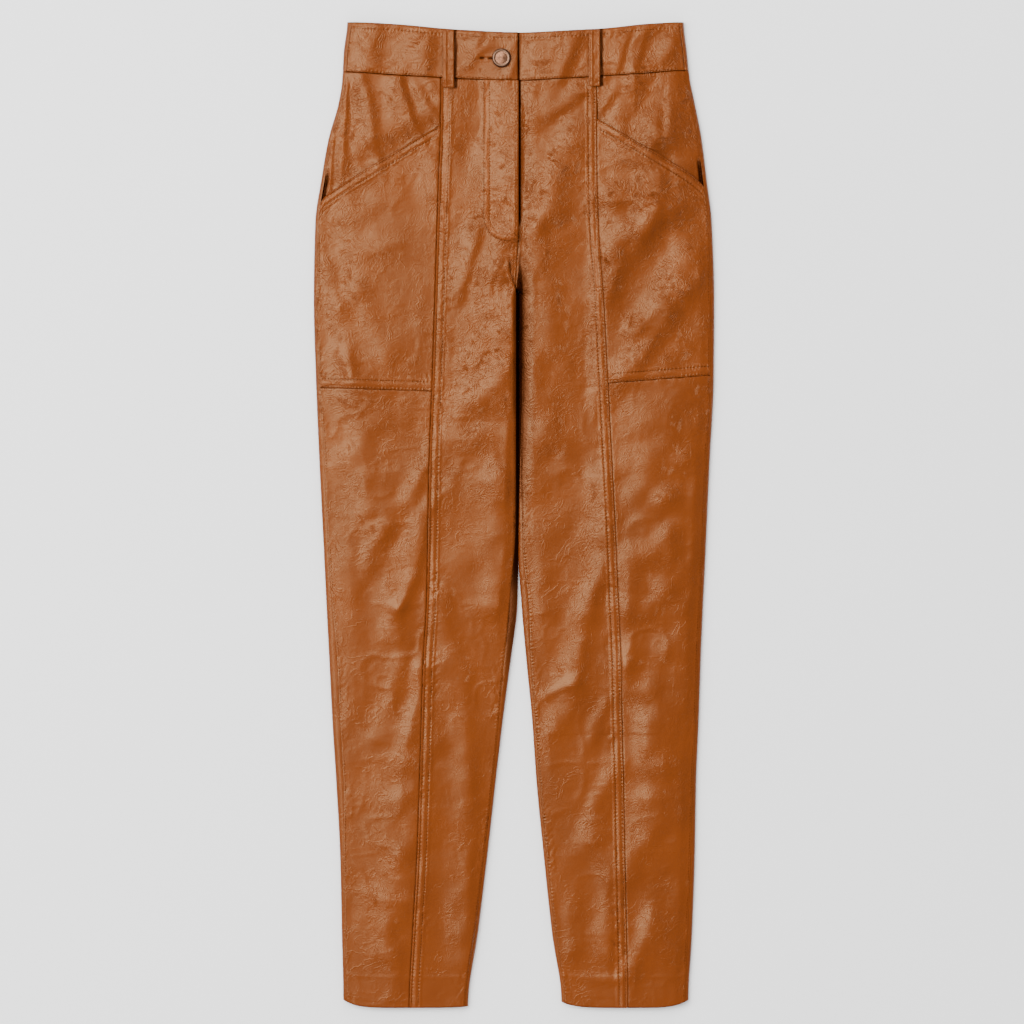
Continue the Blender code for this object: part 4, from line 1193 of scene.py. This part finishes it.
BAND_WALL = 2.4
BAND_PROUD = 0.8  # how far the band stands above the fronts
BAND_EDGE = 3.7  # x of the right band's free end
BAND_UNDERLAP_END = -36.0
BAND_ROW = 6.0  # its rows of stitches, below the top edge and above the waist seam
BAND_ROW_LOW = 1.8
BUTTON_X, BUTTON_DROP = -12.5, 36.3
HOLE_LENGTH = 20.0


def place_band(x, depth, z):
    """World points of the waistband; depth is 0 at its top edge and 1 at the waist seam."""
    down = through(WAIST, "top", x) * (1 - depth) + through(WAIST, "bottom", x) * depth
    return np.stack(np.broadcast_arrays(x, LENGTH / 2 - down, z), axis=-1) * MM


def band_sink(x):
    """The left band sinks by one band's wall under the right band's end."""
    return (BAND_WALL + SEAM_GAP) * fade((x - BAND_EDGE - SLIT) / SINK_RUN)


def band_fine(x, depth, end):
    """The band's stitched edges, with puckers, and the roll of its top, its seam and its free end."""
    down = depth * BAND_DEPTH
    top = stitched_edge(down, x, [BAND_ROW], 111, 0.35, 0.36, 0.5, 5.0)
    low = stitched_edge(BAND_DEPTH - down, x, [BAND_ROW_LOW], 115, 0.3, 0.30, 0.7, 6.0)
    return top + low + edge_roll(end) + crinkle(x, down)


def buttonhole_dip(x, down):
    """The buttonhole: a narrow trough out to the side of the button, deep at its eye and where it goes
    under the button, with a low lip of stitches round it."""
    along = BUTTON_X - 1 - x
    reach = np.clip(along, 0, HOLE_LENGTH)
    off = np.hypot(reach - along, down - BUTTON_DROP)
    eye = smooth((reach - HOLE_LENGTH + 5) / 2) + smooth((12.5 - reach) / 2)
    return -(0.2 + 1.3 * eye) * np.exp(-((off / 0.95) ** 4)) + 0.35 * bell(off - 2.2, 0.9)


def band_front(side, last):
    """Columns run from the side seam to the free end."""
    share = spread(172 if side == "right" else 208, 12, 0.9, 1.7)[:, None]
    depth = even_rows(50, 1.3) * (1 - SEAM_GAP / 2 / BAND_DEPTH)
    first = side_seam(side, BAND_DEPTH * depth) - SIGN[side] * SEAM_OPEN / 2
    x = between(first, last, share)
    fine = band_fine(x, depth, np.minimum(np.abs(x - last), np.abs(x - first)))
    # The gap beside a belt loop, and on the left band the slit beside the right band's end, are painted as
    # shade.
    fall, painted_shade = 0.0, loop_shade(x, 0.0)
    rows = [(BAND_DEPTH * depth - BAND_ROW, x), (BAND_DEPTH * (1 - depth) - BAND_ROW_LOW, x)]
    if side == "right":
        down = between(through(WAIST, "top", x), through(WAIST, "bottom", x), depth)
        fine = fine + buttonhole_dip(x, down)
    else:
        fall = band_sink(x)
        painted_shade = np.maximum(painted_shade, fade((x - BAND_EDGE - 1.5) / 1.4))
    outer, inner = (
        place_band(x, depth, front_height(side, x, BAND_DEPTH * depth, inset, BAND_PROUD) - fall + detail)
        for inset, detail in ((0.0, fine), (BAND_WALL, 0.0)))
    return cloth_piece(f"waistband_front_{side}", outer, inner, tone_of(fine, painted_shade), rows)


def band_back():
    """Columns run over the right side fold, along the table, and over the left side fold."""
    depth = even_rows(50, 1.8) * (1 - SEAM_GAP / 2 / BAND_DEPTH)
    level = BAND_DEPTH * depth

    def detail(x, from_seam, from_fold):
        return (edge_roll(from_seam) + band_fine(x, depth, FAR)) * smooth(from_fold / 2)

    skins = []
    for inset in (0.0, BAND_WALL):
        halves = []
        for side, sign in SIGN.items():
            out = outer_edge(side, level)
            over = leg(side, "out_wrap", level) - SEAM_OPEN / 2
            x, z = fold_columns(side, out, -sign, over, level, inset, detail, BAND_PROUD)
            flat = between(out - sign * FOLD_REACH_UNDER, 0 * out, np.linspace(0, 1, 61)[:, None])
            ground = back_height(side, flat, level, inset)
            halves.append((np.concatenate([x, flat]), np.concatenate([z, ground])))
        x, z = (np.concatenate([right, left[-2::-1]]) for right, left in zip(*halves))
        skins.append(place_band(x, depth, z))
    return cloth_piece("waistband_back", *skins, 0.5)


band_back()
bands = {"right": band_front("right", BAND_EDGE), "left": band_front("left", BAND_UNDERLAP_END)}


# ---- Belt loops -------------------------------------------------------------------------------------
# Narrow strips of the same cloth folded to three layers, edge stitched down both sides, and held at each
# end by a bar tack. The front pair stands a little off the band; the back ones lie under it, pressed flat.

LOOP_LENGTH = 57.0
LOOP_TOP = 2.0  # how far its top end lies below the band's edge
LOOP_ARCH = 1.2
LOOP_ROW = 1.7


def loop_drop(middle, run):
    """Drops along the loop whose middle lies at that x; run goes from 0 at its top end to 1."""
    top, seam = through(WAIST, "top", middle) + LOOP_TOP, through(WAIST, "bottom", middle)
    return between(top, seam + LOOP_TAIL, run)


def loop_seat(side, middle, run):
    """z of a front loop's underside: clear of the highest cloth below it, and arched between its ends."""
    past_seam = loop_drop(middle, run) - through(WAIST, "bottom", middle)
    beside = middle + np.array([[-4.0], [0.0], [4.0]])
    ground = front_height(side, beside, BAND_DEPTH + past_seam).max(axis=0)
    on_band = fade((past_seam - 1.5) / 5)
    return ground + BAND_PROUD * on_band + SEAM_GAP + 0.25 + LOOP_ARCH * np.sin(np.pi * run) ** 2


def belt_loop(name, middle, side=None):
    """A strip. A front one's cross-section is a flat pillow with a trough by each edge and a ridge between;
    a back one, which has no side, is plain."""
    share, run = np.linspace(-0.5, 0.5, 25)[:, None], even_rows(LOOP_LENGTH, 1.2)
    down = loop_drop(middle, run)
    x = np.broadcast_to(middle + LOOP_WIDTH * share, (len(share), run.size))
    lower, fine, ends = 0 * x, 0 * x, 0.0
    if side:
        edge = LOOP_WIDTH * (0.5 - np.abs(share))
        fine = edge_roll(edge) + 0.28 * bell(edge - 1.1, 0.6) + 0.12 * ripple(x, down, 3.0, 121)
        fine = fine + 0.55 * bell(share + 0.22, 0.075) + crinkle(x, down)
        ends = edge_roll(run * LOOP_LENGTH + 0.2) + edge_roll((1 - run) * LOOP_LENGTH + 0.2)
        lower = lower + loop_seat(side, middle, run)
    skins = [np.stack(np.broadcast_arrays(x, LENGTH / 2 - down, z), axis=-1) * MM
             for z in (lower + LOOP_WALL + fine + ends, lower)]
    return cloth_piece(name, *skins, tone_of(fine))


for side, middle in FRONT_LOOPS.items():
    loop = belt_loop(f"belt_loop_front_{side}", middle, side)
for where, middle in BACK_LOOPS.items():
    loop = belt_loop(f"belt_loop_back_{where}", middle)


# ---- Topstitching -----------------------------------------------------------------------------------
# Tonal polyester thread, sewn through. Each stitch is a short grain of thread that dips into the cloth
# at both ends, and the rows follow the seams at a constant distance.

STITCH_SHARE = 0.78  # of a stitch's length that is thread, the rest being the hole between two
THREAD = 0.24
THREAD_SIDES = 5
ROW_STEP = 1.5
ROW_LIFT = 0.12


def thread_finish():
    thread = Finish("topstitch thread")
    at = thread.add("ShaderNodeTexCoord")["Object"]
    twist = thread.noise(at, 2400, 1, 0.5)
    thread.surface(Base_Color=thread.mix(twist, (0.042, 0.0085, 0.0012), (0.080, 0.0165, 0.0024)),
                   Roughness=0.66 + twist * 0.12, Specular_Tint=WARM_GLOSS, Specular_IOR_Level=0.2)
    return thread.material


THREAD_FINISH = thread_finish()


def stitch_ends(row):
    """Where each stitch of a row begins and ends, at even steps along it."""
    run = np.concatenate([[0], np.cumsum(np.hypot(*np.diff(row[:, :2], axis=0).T))])
    middles = np.arange(int(run[-1] / STITCH)) + 0.5
    ends = []
    for half in (-0.5, 0.5):
        at = (middles + half * STITCH_SHARE) * STITCH
        ends.append(np.stack([np.interp(at, run, axis) for axis in row.T], axis=-1))
    return ends


def sew(name, rows):
    """Stitches along rows of points in millimetres, already on the cloth. Each is a spindle of 5 sides and
    4 rings, laid along the row's own direction, and here and there one is pulled deeper into the cloth."""
    start, stop = (np.concatenate(ends) for ends in zip(*map(stitch_ends, rows)))
    buried = 0.28 * smooth(0.4 + 0.9 * ripple(start[:, 0] + 900, start[:, 1], 13, 131))[:, None] * [0, 0, 1]
    start, stop = start - buried, stop - buried
    way = (stop - start) / np.linalg.norm(stop - start, axis=1, keepdims=True)
    aside = np.cross(way, [0.0, 0.0, 1.0])
    aside /= np.linalg.norm(aside, axis=1, keepdims=True)
    up = np.cross(aside, way)
    rings = np.array([0.0, 0.22, 0.78, 1.0])[:, None]
    radius = THREAD * np.array([0.45, 1.0, 1.0, 0.45])[:, None, None]
    sink = THREAD * np.array([-0.9, 0.55, 0.55, -0.9])[:, None]
    angle = np.linspace(0, 2 * np.pi, THREAD_SIDES, endpoint=False)[:, None]
    middle = start[:, None] + (stop - start)[:, None] * rings + up[:, None] * sink
    spoke = np.cos(angle) * aside[:, None, None] + np.sin(angle) * up[:, None, None]
    points = middle[:, :, None] + spoke * radius

    corner = np.arange(len(start) * len(rings) * THREAD_SIDES).reshape(-1, len(rings), THREAD_SIDES)
    ahead = np.roll(corner, -1, axis=2)
    sides = np.stack([corner[:, 1:], ahead[:, 1:], ahead[:, :-1], corner[:, :-1]], axis=-1).reshape(-1, 4)
    caps = corner[:, 0].tolist() + corner[:, -1, ::-1].tolist()
    mesh = bpy.data.meshes.new(name)
    mesh.from_pydata((points.reshape(-1, 3) * MM).tolist(), [], sides.tolist() + caps)
    piece = finished(name, mesh, THREAD_FINISH)
    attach(piece, "root")


def laid(side, x, drop, extra):
    """A row on a panel, extra above its plain height, as points in millimetres."""
    return place(side, x, drop, front_height(side, x, drop) + (extra + ROW_LIFT)) / MM


for side, sign in SIGN.items():
    levels = np.arange(BAND_DEPTH + LOOP_TAIL + 3, LENGTH - 1, ROW_STEP)
    sew(f"stitches_panel_seam_{side}", [
        laid(side, panel_seam(side, levels) - sign * row, levels, 0.2) for row in PANEL_ROWS])
    lows = np.arange(CROTCH + 30, LENGTH - 2, ROW_STEP)
    inseam = leg(side, "inner", lows) + sign * (leg(side, "in_wrap", lows) + INSEAM_ROW)
    highs = np.arange(BAND_DEPTH + 4, LENGTH - 2, ROW_STEP)
    outseam = side_seam(side, highs) - sign * SIDE_ROW
    sew(f"stitches_side_seams_{side}", [laid(side, inseam, lows, -0.2), laid(side, outseam, highs, -0.2)])
    share = np.linspace(0.01, 0.99, 120)[:, None]
    mouth_x, bottom_x = (side_x(side, share, line)[:, 0] for line in (mouth_drop, pocket_bottom))
    mouth, bottom = mouth_drop(side, mouth_x), pocket_bottom(side, bottom_x)
    mouth_rows = [laid(side, mouth_x, mouth + row / MOUTH_SLOPE, 0.3) for row in MOUTH_ROWS]
    bottom_rows = [laid(side, bottom_x, bottom - row, 0.15) for row in BOTTOM_ROWS]
    sew(f"stitches_pocket_{side}", mouth_rows + bottom_rows)


def fly_stitch(inward):
    """One row of the J: straight down, round the turn, and along to the centre front."""
    straight = np.arange(BAND_DEPTH + 2, FLY_CURVE_DROP, ROW_STEP)
    turn, radius = np.linspace(0, np.pi / 2, 30), FLY_TURN - inward
    around = FLY_OUTER + FLY_TURN - radius * np.cos(turn)
    low = FLY_CURVE_DROP + radius
    x = np.concatenate([np.full(len(straight), FLY_OUTER + inward), around, [-3.5, -1.0]])
    drop = np.concatenate([straight, FLY_CURVE_DROP + radius * np.sin(turn), [low, low]])
    return laid("right", x, drop, fly_rise(x, drop) + 0.3)


edge_drop = np.arange(BAND_DEPTH + 2, FLY_END + 2, ROW_STEP)
edge_x = np.full(len(edge_drop), FLY_EDGE - FLY_EDGE_ROW)
seam_drop = np.arange(FLY_END + 9, CROTCH - 2, ROW_STEP)
seam_x = np.interp(seam_drop, [FLY_END, CROTCH], [FLY_EDGE, CENTRE_SEAM_LOW]) - CENTRE_ROW
sew("stitches_fly", [
    *map(fly_stitch, FLY_ROWS),
    laid("right", edge_x, edge_drop, fly_rise(edge_x, edge_drop) + 0.35),
    laid("right", seam_x, seam_drop, 0.1),
])


def band_stitches(side, first, last):
    """The two rows on one front of the band."""
    xs = np.arange(first, last, ROW_STEP)
    fall = band_sink(xs) if side == "left" else 0.0
    rows = []
    for down in (BAND_ROW, BAND_DEPTH - BAND_ROW_LOW):
        depth = np.full(len(xs), down / BAND_DEPTH)
        z = front_height(side, xs, depth * BAND_DEPTH, 0.0, BAND_PROUD) - fall + 0.1 + ROW_LIFT
        rows.append(place_band(xs, depth, z) / MM)
    return rows


right_rows = band_stitches("right", -164, BAND_EDGE - 2)
sew("stitches_waistband", right_rows + band_stitches("left", BAND_EDGE + 4, 167))

for side, middle in FRONT_LOOPS.items():
    run = np.linspace(0.03, 0.97, 60)
    y, z = LENGTH / 2 - loop_drop(middle, run), loop_seat(side, middle, run) + LOOP_WALL - 0.1
    sew(f"stitches_loop_{side}", [np.stack([np.full(len(run), middle + off), y, z], axis=-1)
                                  for off in (LOOP_ROW - LOOP_WIDTH / 2, LOOP_WIDTH / 2 - LOOP_ROW)])


# ---- Button -----------------------------------------------------------------------------------------
# A shank button pressed from brass and plated in antique copper: a low dome with fine rays, a groove, and a
# raised, nicked rim. It is turned from a profile.

BUTTON_RADIUS = 9.5
BUTTON_HEIGHT = 3.4
BUTTON_STEPS = 192
GROOVE = 0.68  # share of the radius at which the rim begins
RAYS = 32
NICKS = 48

# Shares of the radius and heights above the cap's base: over the dome, the groove and the rim, and back
# underneath to the shank.
PROFILE = [
    (0.0, 3.20), (0.08, 3.20), (0.15, 3.185), (0.22, 3.16), (0.30, 3.12), (0.38, 3.06), (0.46, 2.98),
    (0.54, 2.88), (0.61, 2.79), (0.66, 2.76), (0.70, 2.82), (0.75, 2.98), (0.81, 3.06), (0.87, 2.96),
    (0.92, 2.7), (0.96, 2.3), (0.985, 1.9), (1.0, 1.4), (0.985, 0.7), (0.95, 0.25), (0.88, 0.0),
    (0.26, 0.0), (0.255, -1.0)]

COPPER = (0.30, 0.140, 0.078)
COPPER_DARK = (0.17, 0.075, 0.042)
COPPER_DULL = (0.15, 0.085, 0.055)


def copper_finish():
    """Dark plating, rubbed in blotches on the dome and dull on the rim."""
    copper = Finish("antique copper")
    at = copper.add("ShaderNodeTexCoord")["Object"]
    worn = copper.noise(at, 260, 3, 0.6)
    fine = copper.noise(at, 1900, 2, 0.5)
    bump = copper.add("ShaderNodeBump", None, {"Strength": 0.35, "Distance": 0.0001, "Height": fine})
    low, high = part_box("button")
    middle = tuple((low[k] + high[k]) / 2 for k in (0, 1)) + (high[2] - 0.001,)
    from_middle = copper.add("ShaderNodeVectorMath", {"operation": "DISTANCE"}, [at, middle])["Value"]
    rim = from_middle.ramp(0.0060, 0.0067) * (0.75 + 0.25 * worn)
    dome = copper.mix(worn.ramp(0.35, 0.7), COPPER, COPPER_DARK)
    copper.surface(Base_Color=copper.mix(rim, dome, COPPER_DULL), Metallic=1.0, Roughness=0.3 + fine * 0.12,
                   Normal=bump["Normal"])
    return copper.material


def button():
    """Rings of the turned profile. Its rays and nicks are waves round the dome and the rim."""
    low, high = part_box("button")
    cap_base = high[2] / MM - BUTTON_HEIGHT
    shape = np.array([*PROFILE, (0.255, low[2] / MM - cap_base)])
    share, height = shape[:, :1], shape[:, 1:]
    angle = np.linspace(0, 2 * np.pi, BUTTON_STEPS, endpoint=False)[None, :]
    r = share * BUTTON_RADIUS
    rays, nicks = 0.014 * r * np.cos(RAYS * angle), 0.045 * np.cos(NICKS * angle)
    z = height + np.where(share < GROOVE, rays, nicks) * ((height > 1.5) & (share > 0.1)) + cap_base
    middle_y = LENGTH / 2 - BUTTON_DROP
    x, y = BUTTON_X + r * np.cos(angle), middle_y + r * np.sin(angle)
    points = np.stack([x, y, z], axis=-1)[1:].reshape(-1, 3)
    centre = [(BUTTON_X, middle_y, height[0, 0] + cap_base), (BUTTON_X, middle_y, low[2] / MM)]
    index = np.arange(len(points)).reshape(-1, BUTTON_STEPS)
    ahead = np.roll(index, -1, axis=1)
    rings = np.stack([index[:-1], index[1:], ahead[1:], ahead[:-1]], axis=-1).reshape(-1, 4).tolist()
    top, bottom = index.size, index.size + 1
    fans = [(top, a, b) for a, b in zip(index[0].tolist(), ahead[0].tolist())]
    fans += [(bottom, b, a) for a, b in zip(index[-1].tolist(), ahead[-1].tolist())]
    mesh = bpy.data.meshes.new("shank_button")
    mesh.from_pydata((np.concatenate([points, centre]) * MM).tolist(), [], rings + fans)
    piece = finished("shank_button", mesh, copper_finish(), 40)
    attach(piece, "root")
    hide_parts("button")


button()


# ---- Zip --------------------------------------------------------------------------------------------
# The fly's zip lies hidden under the right front. Its tape is woven, so its solid keeps its shape here
# and only takes a woven finish.


def zip_finish():
    """Two crossed waves make the weave."""
    tape = Finish("zip tape")
    at = tape.add("ShaderNodeTexCoord")["Object"]
    waves = [tape.add("ShaderNodeTexWave", {"bands_direction": axis}, {"Vector": at, "Scale": 400.0})["Fac"]
             for axis in "XY"]
    weave = waves[0] * waves[1]
    bump = tape.add("ShaderNodeBump", None, {"Strength": 0.5, "Distance": 0.0002, "Height": weave})
    tape.surface(Base_Color=tape.mix(weave, (0.12, 0.035, 0.01), (0.2, 0.06, 0.016)), Roughness=0.8,
                 Normal=bump["Normal"])
    return tape.material


zip_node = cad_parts["fly_zip"]
zip_node.data.materials.clear()
zip_node.data.materials.append(zip_finish())
